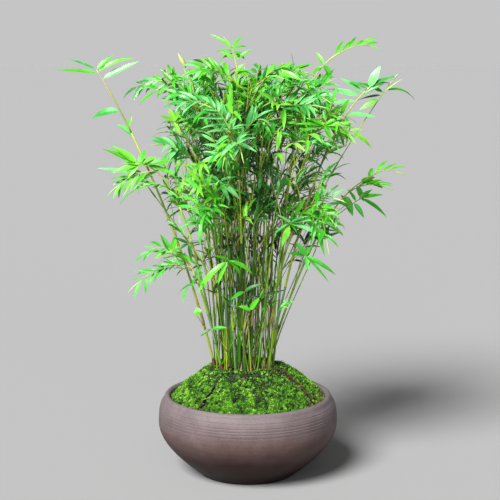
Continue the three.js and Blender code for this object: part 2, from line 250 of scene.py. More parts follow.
def rings_along(path, radii, turns):
    """Corners at the given turns round each point of the path, at that point's radius."""
    path = np.asarray(path, float)
    ahead = headings(path)
    helper = np.array([1.0, 0.0, 0.0]) if abs(ahead[0][2]) > 0.9 else up
    side = np.cross(helper, ahead[0])
    corners = []
    for centre, onward, radius in zip(path, ahead, radii):
        side = unit(side - onward * side.dot(onward))
        front = np.cross(onward, side)
        corners.append(centre + radius * (np.outer(np.cos(turns), side) + np.outer(np.sin(turns), front)))
    return np.concatenate(corners)


@functools.lru_cache
def tube_faces(rings, sides):
    last = (rings - 1) * sides
    ends = [tuple(range(sides - 1, -1, -1)), tuple(range(last, last + sides))]
    return grid_faces(rings, sides) + ends


def full_turn(sides):
    return np.arange(sides) * 2 * math.pi / sides


def add_tube(heap, path, radii, sides, finish):
    heap.add(rings_along(path, radii, full_turn(sides)), tube_faces(len(path), sides), finish)


print("a tube of 6 rings and 8 sides has", len(tube_faces(6, 8)), "faces")

# %% [markdown]
# ## Finishes
# A finish here is one shader with a little cloud of noise in its colour, its roughness and its
# height. The helpers below are the few steps that all finishes share. Colour stops are given as
# the light that the surface sends back, red, green and blue from 0 to 1.

# %% The steps that finishes share
def start_finish(name, roughness):
    finish = bpy.data.materials.new(name)
    finish.use_nodes = True
    tree = finish.node_tree
    shader = tree.nodes["Principled BSDF"]
    shader.inputs["Roughness"].default_value = roughness
    return finish, tree, shader


def add_node(tree, kind, inputs=(), **settings):
    """A node with its settings; each input is linked to a socket or set to a value."""
    node = tree.nodes.new(kind)
    for name, value in settings.items():
        setattr(node, name, value)
    for name, value in dict(inputs).items():
        if isinstance(value, bpy.types.NodeSocket):
            tree.links.new(value, node.inputs[name])
        else:
            node.inputs[name].default_value = value
    return node


def place_on_piece(tree, stretch=(1, 1, 1)):
    """The object's own coordinates in metres, stretched along its axes."""
    coordinates = add_node(tree, "ShaderNodeTexCoord")
    mapping = add_node(tree, "ShaderNodeMapping", {"Vector": coordinates.outputs["Object"], "Scale": stretch})
    return mapping.outputs["Vector"]


def cloud(tree, scale, detail, stretch=(1, 1, 1)):
    """Noise from 0 to 1; scale is in clouds to the metre."""
    inputs = {"Vector": place_on_piece(tree, stretch), "Scale": scale, "Detail": detail}
    return add_node(tree, "ShaderNodeTexNoise", inputs).outputs["Fac"]


def colour_stops(tree, factor, stops):
    """A colour that runs through (place, colour) stops as the factor goes from 0 to 1."""
    ramp = add_node(tree, "ShaderNodeValToRGB", {"Fac": factor})
    elements = ramp.color_ramp.elements
    while len(elements) < len(stops):
        elements.new(0.5)
    for element, (place, colour) in zip(elements, stops):
        element.position = place
        element.color = (*colour, 1)
    return ramp.outputs["Color"]


def calculate(tree, operation, first, second):
    return add_node(tree, "ShaderNodeMath", {0: first, 1: second}, operation=operation).outputs["Value"]


def swing(tree, factor, size):
    """The factor's ups and downs about its middle of 0.5, at this size."""
    return calculate(tree, "MULTIPLY", calculate(tree, "SUBTRACT", factor, 0.5), size)


# a Mix node has a set of sockets for each kind of value, and those for colours go by these numbers
mix_factor, mix_first, mix_second, mix_result = 0, 6, 7, 2


def multiply_colours(tree, first, second):
    inputs = {mix_factor: 1.0, mix_first: first, mix_second: second}
    mix = add_node(tree, "ShaderNodeMix", inputs, data_type="RGBA", blend_type="MULTIPLY")
    return mix.outputs[mix_result]


def emboss(tree, shader, height, depth_mm, strength=1.0):
    """Relief from a height between 0 and 1; it alters how light falls, not the mesh."""
    inputs = {"Height": height, "Distance": depth_mm * MM, "Strength": strength}
    bump = add_node(tree, "ShaderNodeBump", inputs)
    tree.links.new(bump.outputs["Normal"], shader.inputs["Normal"])


print("helpers for clouds, colour stops and relief")

# %% [markdown]
# ## The bowl
# The real bowl is thrown on a wheel: a low round belly that closes a little to a smooth lip, with
# five fine turned lines on its upper wall. Turning a profile about the upright axis is how it
# was made, and it is how it is modelled. The profile repeats the solid's curves with many more
# points, and the turned lines are cut into it, so that they catch the light as real grooves.

# %% Draw the bowl's profile
bowl_height = 73
foot_radius = 44
belly_radius = 81.5
belly_height = 48
foot_handle_out = 16.5
foot_handle_up = 13.5
belly_handle_down = 18
belly_handle_up = 20
mouth_radius = 70.5
lip_drop = 3
wall = 6
bowl_floor = wall + 1
inner_wall = [(belly_radius - wall, belly_height + 4), (belly_radius - wall - 1, belly_height - 12),
              (belly_radius - wall - 16, belly_height - 28), (foot_radius, bowl_floor)]
groove_heights = (65.5, 61.2, 58.5, 56.3, 53.2)
groove_depth = 0.32
groove_half_width = 0.38
groove_burr = 0.05


def bezier(points, shares):
    """Points of a curve with two, three or four handles at the given shares of its run."""
    points = np.asarray(points, float)
    degree = len(points) - 1
    shares = np.asarray(shares, float)[..., None]
    return sum(
        math.comb(degree, k) * (1 - shares) ** (degree - k) * shares ** k * points[k]
        for k in range(degree + 1)
    )


def bowl_profile(steps):
    """Radius and height from the middle of the foot, up the outside, over the lip and down inside."""
    lip_outside = mouth_radius + wall
    lip_start = bowl_height - lip_drop
    foot = (foot_radius, 0)
    belly = (belly_radius, belly_height)
    lip_out = (lip_outside, lip_start)
    lip_in = (mouth_radius, lip_start)
    shares = np.linspace(0, 1, steps)
    from_foot = (foot_radius + foot_handle_out, foot_handle_up)
    to_belly = (belly_radius, belly_height - belly_handle_down)
    from_belly = (belly_radius, belly_height + belly_handle_up)
    lower = bezier([foot, from_foot, to_belly, belly], shares)
    upper = bezier([belly, from_belly, (lip_outside + 1, lip_start - 4), lip_out], shares)
    over = [lip_out, (lip_outside - 1, bowl_height + 1), (mouth_radius + 1, bowl_height + 1), lip_in]
    lip = bezier(over, np.linspace(0, 1, 17))
    return np.concatenate([[(0, 0), (foot_radius - 2, 0)], lower, upper[1:], lip[1:], inner_wall,
                           [(0, bowl_floor)]])


def groove_cut(height):
    """How far the turned lines cut into the wall at a height, with a low burr above each."""
    cut = 0
    for line in groove_heights:
        cut += groove_depth * math.exp(-((height - line) / groove_half_width) ** 2)
        cut -= groove_burr * math.exp(-((height - line - 2 * groove_half_width) / groove_half_width) ** 2)
    return cut


profile = bowl_profile(steps=120)
outside_inner_wall = belly_radius - wall + 0.5
outer_wall = (profile[:, 1] < bowl_height - lip_drop) & (profile[:, 0] > outside_inner_wall)
profile[outer_wall, 0] -= [groove_cut(height) for height in profile[outer_wall, 1]]
print(f"the profile has {len(profile)} points, and the lines are {groove_depth} mm deep")

# %% [markdown]
# Clay thrown by hand is never quite round. A very slight sway in the radius, a tenth of a
# millimetre or two, keeps the highlight on the belly from looking machined.

# %% Turn the bowl
def turned(profile, sides, sway=0.0):
    """Corners and faces of a profile turned about the axis; its first and last points are on it."""
    turns = full_turn(sides)
    corners = [[0, 0, profile[0][1]]]
    for radius, height in profile[1:-1]:
        swayed = radius * (1 + sway * np.sin(2 * turns + 0.05 * height) + 0.5 * sway * np.sin(5 * turns))
        corners.extend(np.stack([swayed * np.cos(turns), swayed * np.sin(turns), np.full(sides, height)], 1))
    corners.append([0, 0, profile[-1][1]])
    rings = len(profile) - 2
    faces = [[corner + 1 for corner in face] for face in grid_faces(rings, sides)]
    last = 1 + (rings - 1) * sides
    for side in range(sides):
        after = (side + 1) % sides
        faces.append((0, 1 + after, 1 + side))
        faces.append((len(corners) - 1, last + side, last + after))
    return np.array(corners), faces


def stoneware_finish():
    """Unglazed clay: mauve grey above, browner in clouds, with fine specks; darker to the foot, partly
    painted shade.
    """
    finish, tree, shader = start_finish("stoneware", 0.6)
    shader.inputs["Specular IOR Level"].default_value = 0.16
    height = add_node(tree, "ShaderNodeSeparateXYZ", {"Vector": place_on_piece(tree)}).outputs["Z"]
    height_for_clay_and_painted_shade = add_node(tree, "ShaderNodeMapRange",
                           {"Value": height, "From Min": 0.0, "From Max": bowl_height * MM})
    broad = swing(tree, cloud(tree, 22, 3), 0.28)
    bands = swing(tree, cloud(tree, 1.0, 3, (9, 9, 160)), 0.14)
    level = calculate(tree, "ADD", height_for_clay_and_painted_shade.outputs["Result"], calculate(tree, "ADD", broad, bands))
    # from near black at the foot to mauve grey at the lip: partly the clay's own colour, partly painted shade
    body = colour_stops(tree, level, [
        (0.0, (0.008, 0.003, 0.002)), (0.33, (0.031, 0.013, 0.010)), (0.60, (0.100, 0.064, 0.060)),
        (0.80, (0.150, 0.115, 0.119)), (1.0, (0.178, 0.145, 0.151)),
    ])
    specks = colour_stops(tree, cloud(tree, 1500, 2), [
        (0.30, (0.45, 0.4, 0.38)), (0.40, (0.92, 0.92, 0.92)), (0.66, (1, 1, 1)), (0.74, (1.3, 1.25, 1.2)),
    ])
    smears = colour_stops(tree, cloud(tree, 95, 5), [(0.35, (0.90, 0.88, 0.87)), (0.65, (1.05, 1.05, 1.05))])
    mottled = multiply_colours(tree, body, smears)
    tree.links.new(multiply_colours(tree, mottled, specks), shader.inputs["Base Color"])
    dull = add_node(tree, "ShaderNodeMapRange",
                    {"Value": cloud(tree, 60, 3), "To Min": 0.46, "To Max": 0.66})
    tree.links.new(dull.outputs["Result"], shader.inputs["Roughness"])
    wheel_marks = cloud(tree, 1.0, 2, stretch=(4, 4, 520))
    grain = cloud(tree, 900, 4)
    relief = calculate(tree, "ADD", wheel_marks, calculate(tree, "MULTIPLY", grain, 0.45))
    emboss(tree, shader, relief, depth_mm=0.16, strength=0.9)
    return finish


bowl = Heap()
bowl.add(*turned(profile, sides=160, sway=0.0012))
make_piece("thrown_bowl", bowl, [stoneware_finish()], ["bowl"])

# %% [markdown]
# ## Chance that repeats
# Plants need chance, but a script has to give the same plant each time. The draws come from the
# little generator of Park and Miller: a whole number in, the same run of draws out. It is the
# generator that grew the solids too, so the same seeds place the same culms and twigs.

# %% Seeded draws
multiplier = 16807
modulus = 2147483647


def seeded(seed):
    """A function that draws a number between two limits, the same run of them for the same seed."""
    state = seed

    def draw(low, high):
        nonlocal state
        state = state * multiplier % modulus
        return low + (high - low) * state / modulus

    return draw


example_draw = seeded(101)
print("three draws from seed 101:", [round(example_draw(0, 1), 3) for _ in range(3)])

# %% [markdown]
# ## The mound
# The soil is level under the clump and then falls to the wall, always a few millimetres under
# the lip. Its top is what shows, between the culms and in the seams of the moss, so the solid's
# profile is turned again with a finer top, and the top is roughened into crumbs.

# %% Heap up the soil
clearance = 0.3
soil_crown_height = 97
soil_crown_radius = 32
soil_edge_height = 65
soil_fall = 1.05


def soil_height(radius):
    t = np.clip((radius - soil_crown_radius) / (mouth_radius - soil_crown_radius), 0, 1)
    return soil_crown_height - (soil_crown_height - soil_edge_height) * t ** soil_fall


def ripple(x, y, size, seed):
    """A cheap smooth bumpiness from -1 to 1 with bumps about this size in millimetres."""
    draw = seeded(seed)
    total = 0
    for _ in range(6):
        turn = draw(0, 2 * math.pi)
        pitch = 2 * math.pi / (size * draw(0.7, 1.5))
        total = total + np.sin(pitch * (x * math.cos(turn) + y * math.sin(turn)) + draw(0, 6.3))
    return total / 6


def soil_bed():
    """Corners and faces of the soil: loose in the bowl, and rough on top."""
    floor = bowl_floor + clearance
    lower = [(0, floor)]
    lower += [(radius - 2.5 * clearance, max(height, floor)) for radius, height in reversed(inner_wall)]
    lower.append((mouth_radius + 0.5, soil_edge_height - 2))
    radii = np.linspace(mouth_radius - 0.5, 0, 60)
    top = np.stack([radii, soil_height(radii)], 1)
    corners, faces = turned(np.concatenate([lower, top]), sides=120)
    x, y, z = corners.T
    on_top = z >= soil_height(np.hypot(x, y)) - 0.01
    rough = 0.7 * ripple(x, y, 9, 31) + 0.5 * ripple(x, y, 3.5, 37) + 0.35 * ripple(x, y, 1.8, 41)
    corners[on_top, 2] += rough[on_top] - 0.3
    return corners, faces


def soil_finish():
    finish, tree, shader = start_finish("peaty_soil", 0.95)
    colour = colour_stops(tree, cloud(tree, 420, 5), [
        (0.3, (0.012, 0.008, 0.005)), (0.5, (0.032, 0.021, 0.013)), (0.7, (0.085, 0.055, 0.032)),
    ])
    tree.links.new(colour, shader.inputs["Base Color"])
    emboss(tree, shader, cloud(tree, 1100, 5), depth_mm=0.5)
    return finish


def point_at(bearing, distance, height):
    return np.array([distance * math.cos(bearing), distance * math.sin(bearing), height])


crumb_faces = [(0, 2, 4), (2, 1, 4), (1, 3, 4), (3, 0, 4), (2, 0, 5), (1, 2, 5), (3, 1, 5), (0, 3, 5)]
crumb_count = 1500


def crumb(draw):
    """Corners of one lump on the mound: six points of uneven reach, turned at random."""
    radius = mouth_radius * math.sqrt(draw(0.0, 0.93))
    bearing = draw(0, 2 * math.pi)
    size = draw(0.35, 1.1)
    reach = [size * draw(0.6, 1.2) for _ in range(6)]
    points = [[reach[0], 0, 0.1], [-reach[1], 0, -0.1], [0, reach[2], 0.1], [0, -reach[3], 0],
              [0, 0, 0.7 * reach[4]], [0, 0, -0.7 * reach[5]]]
    turn = draw(0, math.pi)
    spun = [[x * math.cos(turn) - y * math.sin(turn), x * math.sin(turn) + y * math.cos(turn), z]
            for x, y, z in points]
    return np.array(spun) + point_at(bearing, radius, soil_height(radius) + 0.3)


soil = Heap()
soil.add(*soil_bed())
crumb_draw = seeded(307)
for _ in range(crumb_count):
    soil.add(crumb(crumb_draw), crumb_faces)
make_piece("soil_bed", soil, [soil_finish()], ["soil"], smooth=False)

# %% [markdown]
# ## Moss
# Moss is a crowd of tiny upright shoots, each a star of pointed leaves, and the shoots crowd
# together in tufts as big as a pea. Seen from a metre away it reads as bright grains with dark
# gaps. A displaced surface alone would look like felt, so each cushion is a low bed, painted near
# black as the shade in those gaps, with thousands of real stars on it. The beds follow the four
# solid cushions: thick in the middle, thin at the edges, with seams between them.

# %% Tufts
tuft_size = 3.9


def cobbles(x, y, size, seed):
    """Rounded humps packed side by side: 1 on top of each and 0 in the gaps between them."""
    cell_x, cell_y = np.floor(x / size), np.floor(y / size)
    nearest = np.full(np.shape(x), 9.0)
    for step_x in (-1, 0, 1):
        for step_y in (-1, 0, 1):
            i, j = cell_x + step_x, cell_y + step_y
            shift_x = np.sin(i * 127.1 + j * 311.7 + seed) * 437.58 % 1
            shift_y = np.sin(i * 269.5 + j * 183.3 + seed) * 437.58 % 1
            gap = np.hypot((i + shift_x) * size - x, (j + shift_y) * size - y) / size
            nearest = np.minimum(nearest, gap)
    return np.sqrt(np.clip(1 - (nearest / 0.72) ** 2, 0, 1))


def tuft_height(x, y):
    """From 0 in the gaps between tufts to 1 on their tops, lower where a whole patch lies low."""
    patch = 0.8 + 0.35 * ripple(x, y, 17, 53)
    return np.clip(cobbles(x, y, tuft_size, 5.3) * patch, 0, 1)


print("height on one line of tufts:", tuft_height(np.arange(0.0, 20, 2.5), np.zeros(8)).round(2))

# %% [markdown]
# Each cushion's bed is a sheet over the mound with a skirt down to the soil, closed underneath.

# %% The moss's bed
moss_thickness = 5
moss_lift = 0.7
tuft_rise = 2.3
moss_seam = math.radians(4)
moss_cushions = {"front": (-128, -28), "right": (-28, 48), "back": (48, 150), "left": (150, 232)}
moss_inner_radius = soil_crown_radius + 1.5
moss_outer_radius = mouth_radius - 1


def hump(share, edge, bluntness):
    """A swell that is highest at a share of a half and doesn't quite reach 0 at its two edges."""
    return np.sin(math.pi * (edge + (1 - 2 * edge) * share)) ** bluntness


def moss_top(start, end, along, out):
    """A point of a cushion's top, from its shares along the ring and out from the clump."""
    first = math.radians(start) + moss_seam / 2
    span = math.radians(end - start) - moss_seam
    bearing = first + span * along
    radius = moss_inner_radius + (moss_outer_radius - moss_inner_radius) * out
    crest = hump(along, 0.12, 0.4) * hump(out, 0.14, 0.5)
    lump = 0.12 * np.sin(5 * bearing + 0.21 * radius) + 0.1 * np.sin(11 * bearing - 0.3 * radius)
    x = radius * np.cos(bearing)
    y = radius * np.sin(bearing)
    swells = 0.9 * ripple(x, y, 13, 59) + tuft_rise * (tuft_height(x, y) - 0.8)
    z = soil_height(radius) + moss_lift + (moss_thickness * (1 + lump) + swells) * crest - 1.2
    return np.stack([x, y, z], axis=-1)


def moss_bed(start, end, rows=110, columns=44):
    along, out = np.meshgrid(np.linspace(0, 1, rows), np.linspace(0, 1, columns), indexing="ij")
    top = moss_top(start, end, along, out).reshape(-1, 3)
    under = top.copy()
    under[:, 2] = soil_height(np.hypot(top[:, 0], top[:, 1])) + 0.1
    faces = grid_faces(rows, columns, closed=False)
    count = rows * columns
    below = [[corner + count for corner in reversed(face)] for face in faces]
    first_row = list(range(columns))
    last_row = list(range(count - columns, count))
    rim = first_row + [row * columns + columns - 1 for row in range(1, rows - 1)]
    rim += last_row[::-1] + [row * columns for row in range(rows - 2, 0, -1)]
    skirt = [(rim[i], rim[i - 1], rim[i - 1] + count, rim[i] + count) for i in range(len(rim))]
    return np.concatenate([top, under]), faces + below + skirt


print("a bed has", len(moss_bed(0, 90)[0]), "corners")

# %% [markdown]
# Each star leans a little, has six leaves that spread and three that stand in its middle. Stars
# on top of a tuft get the lighter finishes and stars at its foot the darker ones, which is painted
# light and painted shade, as light falls from above on a real cushion. Along one seam, and by the
# wall beside it, many stars have dried to brown.

# %% Moss stars
star_leaves = 9
spreading_leaves = 6
star_faces = [(3 * leaf, 3 * leaf + 1, 3 * leaf + 2) for leaf in range(star_leaves)]


def moss_star(foot, lean, size, draw):
    """Corners of a star's leaves, three to a leaf: two at its foot and one at its point."""
    side = unit(np.cross(lean, [0.3, 1, 0.2]))
    front = np.cross(lean, side)
    start = draw(0, 2 * math.pi)
    corners = []
    for leaf in range(star_leaves):
        spreading = leaf < spreading_leaves
        around = spreading_leaves if spreading else star_leaves - spreading_leaves
        turn = start + leaf * (2 * math.pi / around) + draw(-0.25, 0.25)
        outward = math.cos(turn) * side + math.sin(turn) * front
        across = math.cos(turn) * front - math.sin(turn) * side
        rise = draw(0.25, 0.7) if spreading else draw(1.4, 3)
        point = foot + size * draw(0.75, 1.15) * unit(outward + rise * lean) + 0.35 * size * lean
        base = foot + 0.3 * size * lean * draw(0.6, 1.2)
        half = 0.21 * size
        corners += [base - half * across, base + half * across, point]
    return corners


def moss_finish(name, dark, light):
    finish, tree, shader = start_finish(name, 0.75)
    mottle = cloud(tree, 700, 3)
    tree.links.new(colour_stops(tree, mottle, [(0.3, dark), (0.7, light)]), shader.inputs["Base Color"])
    emboss(tree, shader, cloud(tree, 2500, 3), depth_mm=0.1)
    return finish


# one moss in lit and shaded finishes: moss_shade to moss_tips run from painted shade to painted light, and
# moss_dry is the brown of dried stars
moss_finishes = [
    moss_finish("moss_shade", (0.004, 0.006, 0.0015), (0.010, 0.016, 0.002)),
    moss_finish("moss_deep", (0.012, 0.040, 0.002), (0.026, 0.080, 0.004)),
    moss_finish("moss_green", (0.042, 0.165, 0.004), (0.075, 0.26, 0.007)),
    moss_finish("moss_bright", (0.10, 0.34, 0.008), (0.17, 0.48, 0.016)),
    moss_finish("moss_tips", (0.26, 0.56, 0.04), (0.42, 0.76, 0.09)),
    moss_finish("moss_dry", (0.060, 0.036, 0.012), (0.22, 0.15, 0.062)),
]


dry_moss = len(moss_finishes) - 1
# how high on a tuft one finish gives way to the next, from painted shade at the foot to painted light on top,
# and how far the heights mix
shade_to_light_levels = (0.27, 0.50, 0.72, 0.98)
level_mixing = 0.34
# what share of the stars has dried, and how far that reaches: at the seam, by the wall, in patches
dried_at_seam = 0.85
dried_seam_width = 4.5
dried_at_wall = 0.7
dried_wall_depth = 6
dried_wall_bearing = -8
dried_wall_span = 26
dried_in_patches = 0.35


def dried_share(x, y):
    """How many of the stars about here have dried: more along one seam and by the wall next to it."""
    radius = math.hypot(x, y)
    bearing = math.degrees(math.atan2(y, x))
    from_seam = abs(bearing - moss_cushions["right"][0]) * math.radians(radius)
    by_seam = dried_at_seam * math.exp(-(from_seam / dried_seam_width) ** 2)
    from_wall = (moss_outer_radius - radius) / dried_wall_depth
    along_wall = (bearing - dried_wall_bearing) / dried_wall_span
    by_wall = dried_at_wall * math.exp(-from_wall ** 2 - along_wall ** 2)
    return max(by_seam, by_wall, dried_in_patches * (ripple(x, y, 9, 71) > 0.5))


def star_finish(x, y, height_share, draw):
    """The finish of a star by how high it sits between the gaps and the tops of the tufts: painted shade low,
    painted light high.
    """
    if draw(0, 1) < dried_share(x, y):
        return dry_moss
    return int(np.searchsorted(shade_to_light_levels, height_share + draw(-level_mixing, level_mixing)))


def random_lean(normal, draw):
    return unit(normal + 0.6 * up + np.array([draw(-0.3, 0.3), draw(-0.3, 0.3), 0]))


print(len(moss_finishes), "finishes for moss")

# %% [markdown]
# The stars are strewn over each bed, fewer in the gaps between the tufts. A loop does it, so that
# every star is part of the cushion's mesh.

# %% Grow the cushions
stars_per_cushion = 4900
for seed, (name, (start, end)) in enumerate(moss_cushions.items(), 401):
    draw = seeded(seed)
    cushion = Heap()
    # the bed takes moss_shade, a near black that paints the shade in the gaps between the stars
    cushion.add(*moss_bed(start, end), finish=0)
    share_of_ring = (end - start) / 90
    for _ in range(int(stars_per_cushion * share_of_ring)):
        along = draw(0, 1)
        out = math.sqrt(draw(0.0, 1))
        spot = moss_top(start, end, np.array([along, along + 0.01, along]), np.array([out, out, out + 0.02]))
        x, y, _ = spot[0]
        height_share = float(tuft_height(x, y))
        if height_share < draw(-0.4, 0.35):
            continue
        slope = np.cross(spot[2] - spot[0], spot[1] - spot[0])
        normal = unit(slope if slope[2] > 0 else -slope)
        star = moss_star(spot[0] - 0.3 * up, random_lean(normal, draw), draw(0.9, 2.1), draw)
        cushion.add(star, star_faces, star_finish(x, y, height_share, draw))
    make_piece(f"moss_{name}_cushion", cushion, moss_finishes, [f"moss_{name}"], smooth=False)

# %% [markdown]
# The cushions leave the crown of the mound to the culms. There the moss grows on between them in
# thin patches, with bare dark soil where it is too shaded.

# %% Moss between the culms
patch_stars = 2600
patches = Heap()
draw = seeded(433)
for _ in range(patch_stars):
    radius = (moss_inner_radius + 2) * math.sqrt(draw(0, 1))
    bearing = draw(0, 2 * math.pi)
    x, y = radius * math.cos(bearing), radius * math.sin(bearing)
    height_share = float(tuft_height(x, y))
    cover = ripple(x, y, 14, 61) + 1.3 * radius / moss_inner_radius - 0.6
    if cover < draw(-0.2, 0.2) or height_share < 0.25:
        continue
    foot = np.array([x, y, soil_height(radius) + 1.6 * height_share - 0.3])
    star = moss_star(foot, random_lean(up, draw), draw(1.0, 1.9), draw)
    # 0.9 lowers these stars on the scale from painted shade to painted light, so that among the culms they
    # are a little darker
    patches.add(star, star_faces, star_finish(x, y, 0.9 * height_share, draw))
make_piece("moss_between_culms", patches, moss_finishes, [], smooth=False)

# %% [markdown]
# ## Lines of growth
# Every shoot follows one curve from its foot on the mound to its tip. It leans a little at the
# foot, and at the tip it rises or nods. The solids grew by the rule below, and it is written
# again here, so that culms, twigs and leaves come out where the solids are. Points on the curve
# are worked out for many shares at once.

# %% A shoot's curve
foot_lean = 0.6
foot_handle = 0.4
tip_handle = 0.22


class ShootCurve:
    """The line of a shoot from its foot to its tip, where it climbs by these degrees."""

    def __init__(self, foot, tip, climb_degrees):
        across = np.array([tip[0] - foot[0], tip[1] - foot[1], 0])
        run = np.linalg.norm(across)
        rise = tip[2] - foot[2]
        chord = math.hypot(run, rise)
        outward = across / run
        lean = foot_lean * math.atan2(run, rise)
        climb = math.radians(climb_degrees)
        low = foot + foot_handle * chord * (math.sin(lean) * outward + math.cos(lean) * up)
        high = tip - tip_handle * chord * (math.cos(climb) * outward + math.sin(climb) * up)
        self.handles = np.array([foot, low, high, tip])

    def points(self, shares):
        return bezier(self.handles, shares)

    def tangents(self, shares):
        slope = bezier(np.diff(self.handles, axis=0), shares)
        return slope / np.linalg.norm(slope, axis=-1, keepdims=True)

    def length(self):
        run = self.points(np.linspace(0, 1, 200))
        return np.linalg.norm(np.diff(run, axis=0), axis=1).sum()


example = ShootCurve(np.array([0, 0, 97.3]), np.array([90, 0, 330]), 10)
print(f"a shoot that reaches 90 mm out and 233 mm up is {example.length():.0f} mm long")

# %% [markdown]
# ## Where the shoots stand
# Shoots that stand out of the crown are named one by one. Rings of others fill the crown on all
# sides, and a few inner culms end among the leaves. Each takes the free spot on the mound that
# suits its lean and keeps clear of the shoots already planted.

# %% Plant the shoots
clump_half_width = 28
clump_half_depth = 26
clump_middle_x = -3
spare_spots = 10
foot_share_x = 0.36
foot_share_y = 0.32
culm_foot_radius = 1.15
culm_top_radius = 0.7
culm_spacing = 1
golden_angle = math.pi * (3 - math.sqrt(5))
crown_top = 402
crown_body_top = 372
tier_jitter = 9
inner_culms = 8
inner_culm_height = 285
inner_culm_reach = 38
inner_culm_climb = 70
inner_culm_turn = 60

# name, bearing, reach, height, climb at the tip and length of the twigs against the usual one
leaders = [
    ("far_left", 183, 133, 366, 58, 0.4),
    ("left_arch", 188, 100, 284, 0, 1),
    ("low_left", 197, 74, 206, -20, 0.7),
    ("left_bud", 172, 56, 368, 65, 0.4),
    ("top", 140, 18, 385, 65, 0.6),
    ("top_right", 8, 84, 382, 25, 0.8),
    ("far_right", -6, 112, 354, 35, 0.8),
    ("low_right", 6, 114, 270, 15, 0.8),
]
# name, count, turn, reach, height, climb and length of the twigs
tiers = [
    ("heart", 1, 300, 22, 346, 60, 1),
    ("upper", 4, 42, 62, 344, 20, 1),
    ("shoulder", 6, 28, 82, 314, 0, 1),
    ("skirt", 4, 62, 72, 246, -15, 1),
]


class Shoot:
    """A shoot: where its tip is wanted, how it climbs there, and how long its twigs are."""

    def __init__(self, name, bearing, reach, height, climb, bush=1, ceiling=crown_body_top, leafy=True):
        self.name = name
        self.tip = point_at(math.radians(bearing), reach, height)
        self.climb = climb
        self.bush = bush
        self.ceiling = ceiling
        self.leafy = leafy
        self.top = 1.0
        self.thickness = 1.0


def wanted_shoots():
    shoots = [Shoot(*leader, ceiling=crown_top) for leader in leaders]
    for ring, (name, count, turn, reach, height, climb, bush) in enumerate(tiers):
        draw = seeded(101 + ring)
        for i in range(count):
            bearing = turn + 360 * i / count + draw(-tier_jitter, tier_jitter)
            drawn = (reach * draw(0.9, 1.1), height + draw(-12, 12), climb + draw(-12, 12))
            shoots.append(Shoot(f"{name}_{i + 1}", bearing, *drawn, bush))
    draw = seeded(211)
    for i in range(inner_culms):
        bearing = inner_culm_turn + math.degrees(i * golden_angle)
        drawn = (inner_culm_reach * draw(0.5, 1.1), inner_culm_height + draw(-40, 25))
        shoots.append(Shoot(f"inner_{i + 1}", bearing, *drawn, inner_culm_climb, leafy=False))
    return shoots


def spot_on_mound(share, turn):
    return np.array([clump_middle_x + clump_half_width * share * math.cos(turn),
                     clump_half_depth * share * math.sin(turn), soil_crown_height + clearance])


def clump_spots(count):
    """Spots spread evenly over the oval of the clump, as seeds are on a sunflower."""
    return [spot_on_mound(math.sqrt((i + 0.5) / count), i * golden_angle) for i in range(count)]


def least_gap(curve_a, curve_b):
    shares = np.linspace(0, 1, 31)
    between = curve_a.points(shares)[:, None] - curve_b.points(shares)[None]
    return np.linalg.norm(between, axis=2).min()


def plant(shoots):
    """Gives each shoot its curve from the best free spot; returns the shoots and the spots left."""
    spots = clump_spots(len(shoots) + spare_spots)
    apart = 2 * culm_foot_radius + culm_spacing
    for number, shoot in enumerate(shoots):
        wanted_x = clump_middle_x + foot_share_x * shoot.tip[0]
        wanted = [wanted_x, foot_share_y * shoot.tip[1], soil_crown_height]
        order = sorted(range(len(spots)), key=lambda i: np.linalg.norm(spots[i] - wanted))
        for i in order:
            curve = ShootCurve(spots[i], shoot.tip, shoot.climb)
            if all(least_gap(curve, other.curve) > apart for other in shoots[:number]):
                break
        shoot.curve = curve
        spots.pop(i)
    return shoots, spots


shoots, free_spots = plant(wanted_shoots())
leafy_shoots = [shoot for shoot in shoots if shoot.leafy]
print(f"{len(shoots)} shoots, {len(leafy_shoots)} of them with sprays; {len(free_spots)} spots are free")

# %% [markdown]
# ## Each spray's own space
# A spray keeps to the points that are nearer to its own middle than to any other's, within its
# reach. Its culm ends where the shoot enters that space. The solids are cut up in the same way,
# so the tops of the culms worked out here can be checked against the solids' boxes.

# %% Divide the crown
middle_share = 0.86
spray_reach = 56
stem_margin = 1.5
top_step = 0.01

for shoot in leafy_shoots:
    shoot.middle = shoot.curve.points(middle_share)
middles = np.array([shoot.middle for shoot in leafy_shoots])


def in_space(shoot, point, margin):
    """Whether a point is the spray's own, this far inside the borders with the other sprays."""
    own = np.linalg.norm(point - shoot.middle)
    if own > spray_reach or point[2] > shoot.ceiling:
        return False
    apart = np.linalg.norm(middles - shoot.middle, axis=1)
    others = apart > 0
    farther = ((point - middles) ** 2).sum(axis=1) - own * own
    return bool(np.all(farther[others] / (2 * apart[others]) > margin))


for shoot in leafy_shoots:
    share = 1.0
    while share > 0.5 and in_space(shoot, shoot.curve.points(share), stem_margin):
        share -= top_step
    shoot.top = share + top_step

worst = 0
for shoot in shoots:
    top_here = shoot.curve.points(shoot.top)[2]
    top_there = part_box(f"culm_{shoot.name}")[1].z / MM
    worst = max(worst, abs(top_here - top_there))
print(f"culm tops agree with the solids to {worst:.2f} mm")

# %% [markdown]
# ## More culms for the clump
# The real clump has far more stems than the solids show, most of them thin and inside the rest.
# They are planted between the others, each where it stays clear of the culms that stand already,
# and they end within the crown. Three stand beside leading shoots and are a little thicker.

# %% Plant the thin culms
thin_culms = 92
thin_spacing = 1.6
thin_heights = (210, 358)
thin_climbs = (30, 85)
thinnest = 0.32
thin_step = 0.05
companion_thickness = 0.6
most_tries = 6000
# name, bearing, reach, height and climb of thin shoots that stand beside a leading one
companions = [
    ("by_far_right", -4, 121, 348, 55),
    ("by_left_arch", 183, 97, 274, 55),
    ("by_low_right", 2, 103, 252, 30),
]


def thin_shoot(number, foot, name, *wanted):
    thin = Shoot(name, *wanted, leafy=False)
    thin.curve = ShootCurve(foot, thin.tip, thin.climb)
    thin.thickness = companion_thickness if name != "thin" else thinnest + thin_step * (number % 6)
    return thin


